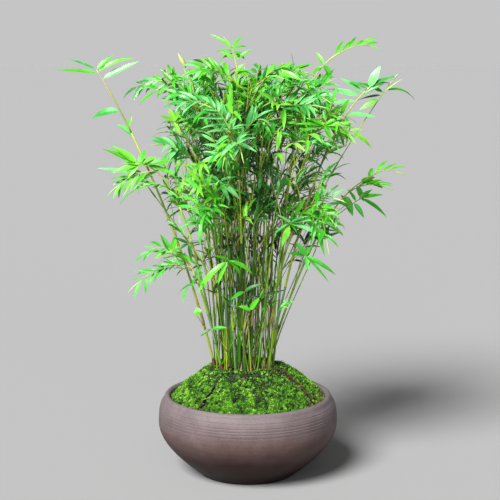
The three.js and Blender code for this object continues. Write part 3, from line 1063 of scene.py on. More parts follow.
def plant_thin(shoots):
    """Thin shoots on spots drawn all over the oval, each clear of the ones before it."""
    draw = seeded(911)
    shares = np.linspace(0, 1, 31)
    taken = np.concatenate([shoot.curve.points(shares) for shoot in shoots])
    planted = []
    for _ in range(most_tries):
        share = math.sqrt(draw(0.02, 1.0))
        turn = draw(0, 2 * math.pi)
        foot = spot_on_mound(share, turn)
        bearing = math.degrees(turn) + draw(-100, 100)
        reach = clump_half_width * share * draw(0.4, 2.4) + draw(0, 22)
        drawn = ("thin", bearing, reach, draw(*thin_heights), draw(*thin_climbs))
        number = len(planted)
        wanted = companions[number] if number < len(companions) else drawn
        thin = thin_shoot(number, foot, *wanted)
        points = thin.curve.points(shares)
        if np.linalg.norm(points[:, None] - taken[None], axis=2).min() > thin_spacing:
            planted.append(thin)
            taken = np.concatenate([taken, points])
        if len(planted) == thin_culms:
            break
    return planted


thin_shoots = plant_thin(shoots)
all_shoots = shoots + thin_shoots
thinnest_crown_culm = 0.62
crown_culm_step = 0.07
for number, shoot in enumerate(shoots[len(leaders):]):
    shoot.thickness = thinnest_crown_culm + crown_culm_step * (number * 7 % 5)
print(f"{len(thin_shoots)} thin culms, {len(all_shoots)} in all")

# %% [markdown]
# ## Culms
# A bamboo culm is a smooth cane with a ring at each node: the scar of a fallen sheath, and just
# above it a raised ridge. At this size a node is only two millimetres tall, but it is what makes
# a cane look like bamboo, so each is modelled with five rings, and the faces of the scar have a
# finish of their own. Where a sheath has just come off, the whole internode is still pale with
# bloom, so now and then an internode is dealt a cool grey green. Among the leaves most internodes
# are dealt a light yellow green, which is painted light on the upper canes.

# %% Shape a culm
internode = 34
# height from the foot or from a node in mm, and width against the cane's
foot_rings = [(0, 1.35), (1.2, 1.1), (4, 1.0)]
node_rings = [(-0.45, 1.0), (-0.1, 1.16), (0.25, 1.03), (0.9, 1.2), (1.9, 1.0)]
scar_rings = 2
waist = 0.985
top_width = 0.97
longest_plain_stretch = 8


def culm_radius(shoot, share):
    """The cane's own radius at a share of its shoot, between the nodes."""
    return shoot.thickness * (culm_foot_radius + (culm_top_radius - culm_foot_radius) * share)


def node_shares(shoot):
    """Shares of the shoot at which its nodes sit, up to where its spray begins."""
    count = max(3, round(shoot.curve.length() * shoot.top / internode))
    return [shoot.top * n / count for n in range(1, count)]


def culm_rings(shoot):
    """Rows of (share, width, whether the face above is scar, internode) from the foot to the top."""
    length = shoot.curve.length()
    rings = [(height / length, width, False, 0) for height, width in foot_rings]
    for number, node in enumerate(node_shares(shoot), 1):
        for step, (height, width) in enumerate(node_rings):
            rings.append((node + height / length, width, step < scar_rings, number))
    rings.append((shoot.top, top_width, False, 0))
    smooth = []
    for lower, upper in zip(rings, rings[1:]):
        smooth.append(lower)
        gap = upper[0] - lower[0]
        if gap * length > longest_plain_stretch:
            smooth += [(lower[0] + gap * part, waist, False, lower[3]) for part in (0.25, 0.5, 0.75)]
    return smooth + [rings[-1]]


print(f"the first culm has {len(culm_rings(shoots[0]))} rings and {len(node_shares(shoots[0]))} nodes")

# %% [markdown]
# The canes are not one green. Most are a strong or a fresh green, older ones are olive, a few are
# golden where the light has reached them, and a few have died back to straw. Five finishes are
# dealt out to the canes, and in each the colour drifts slowly up the cane, with fine streaks
# along it.

# %% Finish the culms
def cane_finish(name, low, middle, high, roughness=0.36):
    finish, tree, shader = start_finish(name, roughness)
    drift = cloud(tree, 1.0, 2, stretch=(45, 45, 16))
    streaks = cloud(tree, 1.0, 3, stretch=(1500, 1500, 60))
    mixed = calculate(tree, "ADD", drift, swing(tree, streaks, 0.35))
    colour = colour_stops(tree, mixed, [(0.3, low), (0.5, middle), (0.68, high)])
    tree.links.new(colour, shader.inputs["Base Color"])
    emboss(tree, shader, streaks, depth_mm=0.05)
    return finish


(green_cane, fresh_cane, olive_cane, golden_cane, straw_cane, scar_band, bloomed_cane,
 painted_light_cane) = range(8)
culm_finishes = [
    cane_finish("cane_green", (0.016, 0.080, 0.002), (0.034, 0.15, 0.003), (0.070, 0.24, 0.007)),
    cane_finish("cane_fresh", (0.055, 0.19, 0.003), (0.13, 0.31, 0.006), (0.25, 0.43, 0.016)),
    cane_finish("cane_olive", (0.010, 0.038, 0.002), (0.027, 0.075, 0.003), (0.070, 0.13, 0.010)),
    cane_finish("cane_golden", (0.13, 0.24, 0.008), (0.27, 0.33, 0.014), (0.42, 0.38, 0.032)),
    cane_finish("cane_straw", (0.13, 0.10, 0.045), (0.23, 0.18, 0.095), (0.33, 0.27, 0.17), 0.6),
    cane_finish("node_scar", (0.05, 0.05, 0.012), (0.11, 0.09, 0.03), (0.19, 0.15, 0.06), 0.7),
    cane_finish("cane_bloomed", (0.055, 0.14, 0.04), (0.10, 0.20, 0.075), (0.16, 0.27, 0.12), 0.6),
    cane_finish("cane_light", (0.20, 0.38, 0.012), (0.36, 0.50, 0.035), (0.55, 0.58, 0.11)),
]
dealt_canes = (green_cane, fresh_cane, green_cane, olive_cane, fresh_cane, golden_cane, green_cane,
               fresh_cane, straw_cane, fresh_cane, green_cane, golden_cane, fresh_cane, olive_cane)
bloomed_share = 0.07
# above this height, give or take, most internodes take the lighter cane finish, painted light
painted_light_share = 0.6
painted_light_from_height = 215


def internode_skin(cane, height, draw):
    """The cane's own finish for most internodes, a bloomed one for some, and high up a lighter one that is
    painted light.
    """
    if draw(0, 1) < bloomed_share:
        return bloomed_cane
    if height + draw(-25, 25) > painted_light_from_height and draw(0, 1) < painted_light_share:
        return painted_light_cane
    return cane


def add_culm(heap, shoot, cane, sides, draw):
    rings = culm_rings(shoot)
    shares = np.array([ring[0] for ring in rings])
    radii = [ring[1] * culm_radius(shoot, ring[0]) for ring in rings]
    heights = shoot.curve.points(np.array([0, *node_shares(shoot)]))[:, 2]
    skins = [internode_skin(cane, height, draw) for height in heights]
    finishes = []
    for _, _, scarred, number in rings[:-1]:
        finishes += [scar_band if scarred else skins[number]] * sides
    corners = rings_along(shoot.curve.points(shares), radii, full_turn(sides))
    heap.add(corners, tube_faces(len(rings), sides), finishes + [cane, cane])


culm_groups = {
    "leader_culms": shoots[:len(leaders)],
    "crown_culms": leafy_shoots[len(leaders):],
    "inner_culms": [shoot for shoot in shoots if not shoot.leafy],
    "thin_culms": thin_shoots,
}
cane_draw = seeded(77)
for group, members in culm_groups.items():
    heap = Heap()
    sides = 6 if group == "thin_culms" else 10
    for shoot in members:
        dealt = dealt_canes[int(cane_draw(0, len(dealt_canes) - 0.01))]
        if group == "leader_culms" or shoot.name.startswith("by"):
            dealt = golden_cane if shoot.name.startswith("far") else fresh_cane
        add_culm(heap, shoot, dealt, sides, cane_draw)
    replaced = [f"culm_{shoot.name}" for shoot in members] if group != "thin_culms" else []
    make_piece(group, heap, culm_finishes, replaced)

# %% [markdown]
# ## Sheaths
# A papery sheath wraps the foot of each internode, and a few stay on after they have dried. They
# are straw and pinkish grey, widest at the node and narrower upwards, and they end in a slanting
# point. At the feet only brown scraps are left. Each is a strip of thin surface bent most of the
# way round its cane.

# %% Wrap the sheaths
sheath_columns = 8
sheath_rows = 6
sheath_shape = grid_faces(sheath_rows, sheath_columns, closed=False)


def add_sheath(heap, shoot, node, tall, draw, finish):
    """A sheath that wraps the cane from the node up to this height in millimetres."""
    length = shoot.curve.length()
    wrap = draw(5.2, 6.1)
    start = draw(0, 2 * math.pi)
    levels = np.linspace(0, 1, sheath_rows)
    shares = np.minimum(node + 0.3 / length + levels * tall / length, 1)
    foot_gap = draw(0.22, 0.42)
    tip_gap = draw(0.03, 0.08)
    radii = [culm_radius(shoot, share) * 1.04 + foot_gap + (tip_gap - foot_gap) * level
             for share, level in zip(shares, levels)]
    turns = start + np.linspace(-wrap / 2, wrap / 2, sheath_columns)
    corners = rings_along(shoot.curve.points(shares), radii, turns).reshape(sheath_rows, sheath_columns, 3)
    from_middle = np.abs(np.linspace(-1, 1, sheath_columns))
    slant = draw(0.55, 0.85)
    for column in range(sheath_columns):
        kept = 1 - slant * from_middle[column] ** 1.3
        own = corners[:, column].copy()
        along = levels * kept * (sheath_rows - 1)
        lower = np.minimum(along.astype(int), sheath_rows - 2)
        part = (along - lower)[:, None]
        corners[:, column] = own[lower] * (1 - part) + own[lower + 1] * part
    heap.add(corners, sheath_shape, finish)


def papery_finish(name, dark, light):
    finish, tree, shader = start_finish(name, 0.8)
    fibres = cloud(tree, 1.0, 4, stretch=(900, 900, 55))
    patches = cloud(tree, 160, 3)
    halves = [calculate(tree, "MULTIPLY", part, 0.5) for part in (fibres, patches)]
    mixed = calculate(tree, "ADD", *halves)
    tree.links.new(colour_stops(tree, mixed, [(0.38, dark), (0.62, light)]), shader.inputs["Base Color"])
    emboss(tree, shader, fibres, depth_mm=0.12)
    return finish


straw_sheath, grey_sheath, green_sheath, brown_sheath = range(4)
sheath_finishes = [
    papery_finish("sheath_straw", (0.25, 0.18, 0.06), (0.44, 0.34, 0.14)),
    papery_finish("sheath_grey", (0.17, 0.12, 0.07), (0.34, 0.26, 0.18)),
    papery_finish("sheath_green", (0.08, 0.17, 0.02), (0.20, 0.29, 0.06)),
    papery_finish("sheath_brown", (0.035, 0.018, 0.008), (0.12, 0.060, 0.030)),
]
sheath_draw = seeded(505)
sheathed_share = 0.10
straw_share = 0.55
still_dry_share = 0.4
green_from_height = 235
scrap_share = 0.4
brown_scrap_share = 0.6
scrap_from = 0.004
sheaths = Heap()
sheath_count = 0
for shoot in all_shoots:
    if sheath_draw(0, 1) < scrap_share:
        skin = brown_sheath if sheath_draw(0, 1) < brown_scrap_share else grey_sheath
        add_sheath(sheaths, shoot, scrap_from, sheath_draw(3, 9), sheath_draw, skin)
    for node in node_shares(shoot):
        if sheath_draw(0, 1) > sheathed_share:
            continue
        dry = straw_sheath if sheath_draw(0, 1) < straw_share else grey_sheath
        low = shoot.curve.points(node)[2] < green_from_height
        finish = dry if low or sheath_draw(0, 1) < still_dry_share else green_sheath
        add_sheath(sheaths, shoot, node, sheath_draw(12, 26), sheath_draw, finish)
        sheath_count += 1
make_piece("sheaths", sheaths, sheath_finishes, [])
print(sheath_count, "sheaths")

# %% [markdown]
# ## Keeping clear of the canes
# A leaf that runs through a cane looks wrong at once. Every cane is kept as a row of short
# straight pieces. Each open leaf, and each twig that grows by chance, is tested against all of
# them before it is grown.

# %% Test against the canes
pieces_per_culm = 16
culm_lines = np.array([shoot.curve.points(shoot.top * np.linspace(0, 1, pieces_per_culm + 1))
                       for shoot in all_shoots])
culm_starts = culm_lines[:, :-1].reshape(-1, 3)
culm_runs = culm_lines[:, 1:].reshape(-1, 3) - culm_starts
culm_run_squares = (culm_runs ** 2).sum(axis=1)
culm_widths = np.array([1.2 * culm_radius(shoot, shoot.top * step / pieces_per_culm)
                        for shoot in all_shoots for step in range(pieces_per_culm)])


def clear_of_culms(start, end, half_width, steps=6):
    """Whether points on the straight line from start to end keep this far from every cane."""
    points = start + np.linspace(0, 1, steps)[:, None] * (end - start)
    offset = points[:, None] - culm_starts
    share = np.clip((offset * culm_runs).sum(axis=2) / culm_run_squares, 0, 1)
    gap = np.linalg.norm(offset - share[..., None] * culm_runs, axis=2)
    return bool(np.all(gap > culm_widths + half_width))


print(f"{len(culm_starts)} straight pieces of cane to keep clear of")

# %% [markdown]
# ## A leaf
# A fern-leaf bamboo's leaf is a lance: a stalk of a millimetre, a round foot, its greatest width
# a third of the way out, and a long fine point. It is folded a little along its rib, it bends
# over towards its tip, and it twists. Nine stations, each with two edges and a rib, are enough
# for that.

# %% Shape a leaf
leaf_stations = np.array([0, 0.05, 0.11, 0.22, 0.36, 0.52, 0.69, 0.86, 1.0])
stalk_end = 0.05
stalk_width = 0.09
lance_scale = 0.373
leaf_facets = grid_faces(len(leaf_stations), 3, closed=False)
leaf_spread = np.array([[u, v] for v in leaf_stations for u in (0, 0.5, 1)])


def lance_outline(stations):
    """Half the width at each station against the greatest half width."""
    blade = np.clip((stations - stalk_end) / (1 - stalk_end), 0, 1)
    lance = blade ** 0.55 * (1 - blade) / lance_scale
    return np.maximum(lance, np.where(stations <= stalk_end, stalk_width, 0.0))


class Leaf:
    """Where a leaf starts, which way it points and faces, and how it is shaped."""

    def __init__(self, foot, direction, facing, length, width, arch, twist, fold, finish):
        self.foot = foot
        self.direction = unit(direction)
        side = unit(np.cross(self.direction, facing))
        self.facing = np.cross(side, self.direction)
        self.length = length
        self.width = width
        self.arch = arch
        self.twist = twist
        self.fold = fold
        self.finish = finish


def blade_corners(leaf):
    bend = leaf.arch * leaf_stations ** 1.3
    heading = np.outer(np.cos(bend), leaf.direction) - np.outer(np.sin(bend), leaf.facing)
    normal = np.outer(np.cos(bend), leaf.facing) + np.outer(np.sin(bend), leaf.direction)
    steps = np.diff(leaf_stations)[:, None] * (heading[1:] + heading[:-1]) / 2 * leaf.length
    rib = leaf.foot + np.concatenate([np.zeros((1, 3)), np.cumsum(steps, axis=0)])
    side = np.cross(heading, normal)
    turn = (leaf.twist * leaf_stations)[:, None]
    side, normal = np.cos(turn) * side + np.sin(turn) * normal, np.cos(turn) * normal - np.sin(turn) * side
    half = (leaf.width / 2 * lance_outline(leaf_stations))[:, None]
    rise = math.sin(leaf.fold) * half * normal
    reach = math.cos(leaf.fold) * half * side
    return np.stack([rib - reach + rise, rib, rib + reach + rise], axis=1).reshape(-1, 3)


def leaf_tip(leaf):
    """About where the point of a leaf comes to lie; its arch takes it off the straight line."""
    off_line = leaf.arch * 0.45
    return leaf.foot + leaf.length * (math.cos(off_line) * leaf.direction
                                      - math.sin(off_line) * leaf.facing)


print("a leaf has", len(leaf_facets), "faces; widths", lance_outline(leaf_stations).round(2))

# %% [markdown]
# ## Leaf colours
# Young leaves are a light yellow green and most are a strong green. Some are a cooler, bluer green
# that also paints in the pale sheen of light on a leaf's face, and those inside the crown and low in
# the clump are a deep green that is painted shade. Each of these greens comes in a darker and a
# lighter finish. Each spray has its main green, and about half of its twigs take another. Inside
# one finish only a faint cloud shows, and the fine ribs along the blade.

# %% Finish the leaves
def leaf_finish(name, colour, roughness):
    finish, tree, shader = start_finish(name, roughness)
    deeper = [0.72 * part for part in colour]
    mottled = colour_stops(tree, cloud(tree, 140, 3), [(0.35, deeper), (0.6, colour)])
    tree.links.new(mottled, shader.inputs["Base Color"])
    gloss = add_node(tree, "ShaderNodeMapRange", {"Value": cloud(tree, 220, 2), "To Min": roughness - 0.07,
                                                  "To Max": roughness + 0.09})
    tree.links.new(gloss.outputs["Result"], shader.inputs["Roughness"])
    blade = add_node(tree, "ShaderNodeUVMap", uv_map="blade").outputs["UV"]
    ribs = add_node(tree, "ShaderNodeTexWave", {"Vector": blade, "Scale": 3.0, "Distortion": 0.4},
                    bands_direction="X")
    emboss(tree, shader, ribs.outputs["Fac"], depth_mm=0.05, strength=0.5)
    return finish


# the cool green is bluer and also paints in the pale sheen of light on leaf faces; the deep green is painted
# shade
greens = {
    "young": ((0.15, 0.52, 0.018), (0.27, 0.70, 0.06), 0.36),
    "bright": ((0.075, 0.45, 0.010), (0.14, 0.62, 0.028), 0.30),
    "green": ((0.042, 0.35, 0.014), (0.080, 0.50, 0.042), 0.30),
    "cool": ((0.064, 0.39, 0.066), (0.17, 0.62, 0.165), 0.27),
    "deep": ((0.008, 0.070, 0.004), (0.022, 0.16, 0.011), 0.36),
}
leaf_finishes = []
finish_pair = {}
for green, (darker, lighter, roughness) in greens.items():
    finish_pair[green] = (len(leaf_finishes), len(leaf_finishes) + 1)
    leaf_finishes += [leaf_finish(f"leaf_{green}_darker", darker, roughness),
                      leaf_finish(f"leaf_{green}_lighter", lighter, roughness)]
twig_yellow, twig_green, rolled_leaf, pale_bud = range(4)
twig_finishes = [
    cane_finish("twig_yellow", (0.22, 0.34, 0.02), (0.38, 0.44, 0.05), (0.55, 0.48, 0.10)),
    cane_finish("twig_green", (0.08, 0.26, 0.015), (0.15, 0.38, 0.025), (0.27, 0.48, 0.06)),
    cane_finish("rolled_leaf", (0.20, 0.46, 0.04), (0.34, 0.60, 0.10), (0.50, 0.70, 0.20)),
    cane_finish("pale_bud", (0.40, 0.52, 0.12), (0.58, 0.64, 0.24), (0.74, 0.72, 0.40)),
]
print(len(leaf_finishes), "finishes for leaves and", len(twig_finishes), "for twigs")

# %% [markdown]
# ## Twigs with leaves
# Two habits show on the real plant. Most twigs are feathers: the frond of a fern in look, a
# yellow twig that rises and then arches over, with small leaves in two close ranks. The others
# are hands: up to seven longer leaves that spread from the twig's end and hang. Both end in a
# last leaf, or in one that is still rolled to a spear.
#
# What a twig grows with is the same all the way down to its last leaf: the heap that it goes to,
# its draws, its green, how long its leaves are and where they may reach. So these are kept
# together in one small object that is passed along. Leaves turn their faces to the light and a
# little outward from the clump, so a twig that isn't given its facing takes it from one helper.

# %% What a twig grows with
crown_half_width = 88
crown_half_depth = 118
crown_drift = 10
drift_height = 150
# where leaves take the deep green of painted shade: how far below the crown's top, and how far out from its
# axis
shade_drop = 22
shade_fade = 50
shade_radius = 52
shade_fullness = 1.15
# an opening in the crown's front: its middle and its reach, sideways and in height
opening_middle = (42, 288)
opening_reach = (36, 26)
opening_depth = 20
opening_share = 0.72
lighter_share = 0.45
rolled_share = 0.35


def crown_middle_x(height):
    """The middle of the crown drifts a little to the right upwards."""
    return clump_middle_x + crown_drift * np.clip((height - soil_crown_height) / drift_height, 0, 1)


def from_crown_axis(point):
    return math.hypot(point[0] - crown_middle_x(point[2]), point[1])


def sideways_reach(point):
    """How far out a point is, with its way to the front or back counted less, where the crown is deeper."""
    in_depth = point[1] * crown_half_width / crown_half_depth
    return math.hypot(point[0] - crown_middle_x(point[2]), in_depth)


def depth_in_crown(point):
    """From 0 on the crown's outside to 1 in the middle of its lower part."""
    below_top = np.clip((crown_body_top - shade_drop - point[2]) / shade_fade, 0, 1)
    return below_top * np.clip(shade_fullness - from_crown_axis(point) / shade_radius, 0, 1)


def openness(point):
    """How many leaves are missing here: canes show in the crown's front, right of its middle."""
    if point[1] > opening_depth:
        return 0
    aside = (point[0] - opening_middle[0]) / opening_reach[0]
    above = (point[2] - opening_middle[1]) / opening_reach[1]
    return opening_share * math.exp(-aside ** 2 - above ** 2)


class Crown:
    """The twigs and leaves of one group of shoots, on their way to two pieces."""

    def __init__(self):
        self.twigs = Heap()
        self.leaves = []


class Growth:
    """What a twig and its leaves grow with: their heaps, draws, green, size, space and facing."""

    def __init__(self, crown, draw, green, leaf_length, allowed, facing=None):
        self.crown = crown
        self.draw = draw
        self.green = green
        self.leaf_length = leaf_length
        self.allowed = allowed
        self.facing = facing

    def faces(self, place):
        """Which way the leaves of a twig that ends here look."""
        return leaf_facing(place, self.draw) if self.facing is None else self.facing

    def leaf(self, foot, direction, facing, length, width, arch):
        """Grows one leaf, unless it would leave its space or run through a cane."""
        draw = self.draw
        # leaves deep inside the crown take the deep green, painted shade
        green = "deep" if draw(0, 1) < depth_in_crown(foot) else self.green
        finish = finish_pair[green][draw(0, 1) < lighter_share]
        bent = arch * draw(0.6, 1.3)
        leaf = Leaf(foot, direction, facing, length, width * draw(0.87, 1.13), bent, draw(-0.5, 0.5),
                    draw(0.15, 0.45), finish)
        tip = leaf_tip(leaf)
        if self.facing is None and draw(0, 1) < openness(tip):
            return
        if self.allowed(tip) and clear_of_culms(foot + 0.3 * (tip - foot), tip, 0.6, steps=4):
            self.crown.leaves.append(leaf)

    def spear(self, foot, onward, length):
        """Grows a leaf that is still rolled."""
        point = foot + length * onward
        if self.allowed(point):
            path = bezier([foot, foot + length * (0.5 * onward + 0.05 * up), point], np.linspace(0, 1, 6))
            add_tube(self.crown.twigs, path, [0.35, 0.6, 0.62, 0.5, 0.3, 0.06], 5, rolled_leaf)

    def last_leaf(self, end, onward, facing, length):
        """Grows the leaf at a twig's end, open or still rolled."""
        if self.draw(0, 1) < rolled_share:
            self.spear(end, onward, length * self.draw(0.5, 0.8))
        else:
            length = length * self.draw(0.75, 1.0)
            self.leaf(end - 0.3 * onward, onward, facing, length, 0.2 * length, 0.6)


to_light = unit(np.array([-0.3, -0.35, 0.9]))


def leaf_facing(place, draw):
    """Which way the faces of a twig's leaves look: to the light, outward, and somewhat at random."""
    outward = point_at(math.atan2(place[1], place[0]), 1, 0)
    astray = point_at(draw(0, 2 * math.pi), draw(0.1, 0.8), draw(-0.2, 0.4))
    return unit(to_light + draw(0.1, 0.8) * outward + astray)


print("leaves face the light from", to_light.round(2))

# %% [markdown]
# A feather's leaves leave it at a sharp angle, by turns to one side and the other, and they are
# longest about its middle.

# %% Grow a feather
twig_radius = 0.55
twig_sides = 5
feather_spacing = 3.0
feather_leaf_angles = (24, 54)
feather_leaf_sizes = (0.6, 1.25)


def add_twig(growth, handles, radius, tip_share, yellow_share, steps):
    """A bare twig along a curve; its radius falls to this share of itself at the tip."""
    path = bezier(handles, np.linspace(0, 1, steps))
    skin = twig_yellow if growth.draw(0, 1) < yellow_share else twig_green
    add_tube(growth.crown.twigs, path, np.linspace(radius, tip_share * radius, steps), twig_sides, skin)


def grow_feather(growth, root, end, leafy_from=0.1, radius=twig_radius, leaf_share=1.0, one_sided=False):
    """Grows a twig with a rank of leaves on both sides, or only on its upper side."""
    draw = growth.draw
    chord = end - root
    length = np.linalg.norm(chord)
    handle = root + draw(0.45, 0.6) * chord + up * length * draw(0.12, 0.3)
    sunk_end = end - up * length * draw(0.0, 0.16)
    handles = [root, handle, sunk_end]
    add_twig(growth, handles, radius, tip_share=0.4, yellow_share=0.7, steps=7)
    facing = growth.faces(end)
    ranks = 1 if one_sided else 2
    count = max(3, int(length * (1 - leafy_from) * ranks / (2 * feather_spacing)))
    cant = draw(-0.1, 0.5)
    for n in range(count):
        share = leafy_from + (1 - leafy_from) * (n + 0.4) / (count + 0.2)
        onward = unit(bezier(np.diff(handles, axis=0), share))
        side = unit(np.cross(onward, facing))
        hand = 1 if (side[2] > 0 if one_sided else n % 2) else -1
        angle = math.radians(draw(*feather_leaf_angles))
        usual_size = leaf_share * growth.leaf_length
        size = usual_size * draw(*feather_leaf_sizes) * (1 - 0.3 * abs(n / count - 0.45))
        direction = math.cos(angle) * onward + hand * math.sin(angle) * side + cant * facing
        tilt = facing - hand * cant * side + draw(-0.25, 0.25) * onward
        growth.leaf(bezier(handles, share), direction, tilt, size, 0.13 * size + 1.0, draw(0.2, 1.2))
    last_share = 0.7 if one_sided else 1.2
    growth.last_leaf(sunk_end, unit(sunk_end - handle), facing, last_share * leaf_share * growth.leaf_length)


print("a feather has a leaf every", feather_spacing, "mm")

# %% [markdown]
# A hand's leaves sit close together at the end of its twig. The lowest spread widest, and the
# others point more and more straight on.

# %% Grow a hand
hand_spacing = 2.2
hand_leaf_share = 1.25


def grow_hand(growth, root, end, radius=twig_radius, fingers=6):
    """Grows a twig with so many longer leaves spread about its end, and one last leaf."""
    draw = growth.draw
    chord = end - root
    length = np.linalg.norm(chord)
    handle = root + 0.5 * chord + up * length * draw(0.0, 0.15)
    handles = [root, handle, end]
    add_twig(growth, handles, radius, tip_share=0.6, yellow_share=0.6, steps=6)
    facing = growth.faces(end)
    onward = unit(end - handle)
    side = unit(np.cross(onward, facing))
    leaf_length = hand_leaf_share * growth.leaf_length
    for n in range(fingers):
        foot = bezier(handles, 1 - min(0.7, hand_spacing * (fingers - 1 - n) / length))
        hand = 1 if n % 2 else -1
        angle = math.radians(82 - 62 * n / fingers + draw(-10, 10))
        direction = math.cos(angle) * onward + hand * math.sin(angle) * side + draw(0.0, 0.4) * facing
        tilt = facing + draw(-0.4, 0.4) * side
        size = leaf_length * draw(0.75, 1.1)
        growth.leaf(foot, direction, tilt, size, 0.16 * size, draw(0.6, 1.3))
    growth.last_leaf(end, onward, facing, leaf_length)


print("a hand's leaves are", hand_leaf_share, "times the usual length")

# %% [markdown]
# ## The sprays
# Each spray's stem goes on from its culm. The solids' own twigs are grown first, from the same
# seeds, so they leave the stem where the solid twigs do and end where those end. Then come finer
# ones between them, and side twigs on the longer ones, all within the spray's own reach.

# %% The rule for a spray's twigs
stem_steps = 5
twig_spacing = 9
twig_length = 30
twig_angle = math.radians(48)
shorter_twigs = (1, 0.7, 0.45)


def spray_seed(index):
    return 1009 + 37 * index


def stem_points(shoot):
    """The joints of a spray's stem, from a hair above its culm to the shoot's tip."""
    shares = shoot.top + (1 - shoot.top) * np.arange(stem_steps + 1) / stem_steps
    points = shoot.curve.points(shares)
    points[0] += clearance * shoot.curve.tangents(shoot.top)
    return points


def twig_from_stem(shoot, stem, along, roll, length, angle, margin):
    """Root and end of a twig that leaves the stem at this place, or None where it has no room."""
    step = min(int(along), stem_steps - 1)
    root = stem[step] + (along - step) * (stem[step + 1] - stem[step])
    onward = unit(stem[step + 1] - stem[step])
    side = unit(np.cross(onward, point_at(roll, 1, 0.2)))
    direction = math.cos(angle) * onward + math.sin(angle) * side
    for share in shorter_twigs:
        end = root + share * length * direction
        if in_space(shoot, end, margin) and clear_of_culms(root + 0.12 * (end - root), end, 1):
            return root, end
    return None


def spray_twigs(shoot, stem, draw):
    """Root and end of each twig that the solid spray has."""
    count = max(3, round(np.linalg.norm(stem[0] - stem[stem_steps]) / twig_spacing))
    twigs = []
    for n in range(count):
        roll = n * golden_angle + draw(-0.4, 0.4)
        length = shoot.bush * twig_length * draw(0.75, 1.15)
        along = stem_steps * (n + 0.4) / count
        twigs.append(twig_from_stem(shoot, stem, along, roll, length, twig_angle, stem_margin))
    return [twig for twig in twigs if twig]


def finer_twigs(shoot, stem, draw):
    """Thinner twigs between the others, at a wider range of angles."""
    count = round(np.linalg.norm(stem[0] - stem[stem_steps]) / twig_spacing)
    twigs = []
    for n in range(count):
        along = stem_steps * (n + draw(0.2, 0.9)) / count
        length = shoot.bush * twig_length * draw(0.7, 1.25)
        angle = math.radians(draw(30, 70))
        twigs.append(twig_from_stem(shoot, stem, along, draw(0, 2 * math.pi), length, angle, 0.5))
    return [twig for twig in twigs if twig]


print(f"a twig every {twig_spacing} mm of stem, and a finer one between")

# %% [markdown]
# ## Grow the crown
# Now every shoot of the tiers grows its spray: a feather or a hand on each of its twigs, with
# small side feathers on the longer twigs. Where a stem would leave the crown, it is cut off. At
# its end one feather goes on and another one rises.

# %% Sprays of the tiers
usual_leaf = 19.5
feather_share = 0.66
side_twig_share = 0.5
longer_twig = 16
reach_margin = 4
ceiling_margin = 9
tip_feather = 22
stem_sunk = 14
turns_of_green = ("bright", "green", "cool", "bright", "young")


def pick_green(main, draw):
    """The main green for about half of the twigs, and one of the others for the rest."""
    chance = draw(0, 1)
    for limit, green in ((0.45, main), (0.65, "bright"), (0.78, "green"), (0.91, "cool"), (1.0, "young")):
        if chance <= limit:
            return green


def grow_side_feather(growth, root, end):
    """Grows a small feather out of the side of a longer twig."""
    draw = growth.draw
    start = root + draw(0.3, 0.55) * (end - root)
    aside = unit(np.cross(end - root, up + point_at(draw(0, 6.3), 0.6, 0))) * draw(-1, 1)
    tip = start + draw(14, 24) * unit(unit(end - root) + aside)
    if growth.allowed(tip) and clear_of_culms(start + 0.3 * (tip - start), tip, 0.6):
        grow_feather(growth, start, tip, leafy_from=0.2, radius=0.36, leaf_share=0.9)


def point_below_tip(shoot, distance):
    share = 1 - distance / shoot.curve.length()
    return shoot.curve.points(share)


def overshoot(shoot):
    """How much of the shoot's end lies outside the crown, in millimetres."""
    below_tip = 0
    while sideways_reach(point_below_tip(shoot, below_tip)) > crown_half_width - stem_sunk:
        below_tip += 2
    return below_tip


def add_stem(crown, shoot, below_tip):
    """The stem of a spray, which goes on from its culm and thins towards the tip or a place below it."""
    shares = np.linspace(shoot.top, 1 - below_tip / shoot.curve.length(), 12)
    radii = culm_radius(shoot, shoot.top) * np.linspace(1, 0.4, len(shares))
    add_tube(crown.twigs, shoot.curve.points(shares), radii, 7, twig_yellow)


def grow_spray(crown, shoot, index, main, lowest):
    """Grows the twigs of a spray whose roots lie at least this far below the tip, in millimetres."""
    widest = math.inf if shoot.ceiling == crown_top else crown_half_width

    def within_reach(point):
        near = np.linalg.norm(point - shoot.middle) < spray_reach + reach_margin
        return near and point[2] < shoot.ceiling + ceiling_margin and sideways_reach(point) < widest

    stem = stem_points(shoot)
    draw = seeded(7001 + 43 * index)
    tip = shoot.curve.points(1.0)
    twigs = spray_twigs(shoot, stem, seeded(spray_seed(index))) + finer_twigs(shoot, stem, draw)
    for root, end in twigs:
        if np.linalg.norm(tip - root) < lowest or not within_reach(end):
            continue
        growth = Growth(crown, draw, pick_green(main, draw), usual_leaf, within_reach)
        if draw(0, 1) < feather_share:
            grow_feather(growth, root, end)
        else:
            grow_hand(growth, root, end)
        if np.linalg.norm(end - root) > longer_twig and draw(0, 1) < side_twig_share:
            grow_side_feather(growth, root, end)
    return Growth(crown, draw, main, usual_leaf, within_reach)


tier_groups = {"top_tier": ("heart", "upper"), "shoulder": "shoulder", "skirt": "skirt"}
crown_groups = {"leaders": leafy_shoots[:len(leaders)]}
for group, names in tier_groups.items():
    crown_groups[group] = [shoot for shoot in leafy_shoots if shoot.name.startswith(names)]
crowns = {group: Crown() for group in [*crown_groups, "branchlets"]}
for group in tier_groups:
    for shoot in crown_groups[group]:
        index = leafy_shoots.index(shoot)
        main = turns_of_green[index % len(turns_of_green)]
        cut = overshoot(shoot)
        add_stem(crowns[group], shoot, cut)
        growth = grow_spray(crowns[group], shoot, index, main, lowest=cut)
        tip, onward = point_below_tip(shoot, cut), shoot.curve.tangents(1.0)
        grow_feather(growth, tip - 2 * onward, tip + tip_feather * onward, 0.1)
        grow_feather(growth, tip - 8 * onward, tip + 0.7 * tip_feather * unit(onward + 1.3 * up), 0.15)
    print(f"{group}: {len(crowns[group].leaves)} leaves")

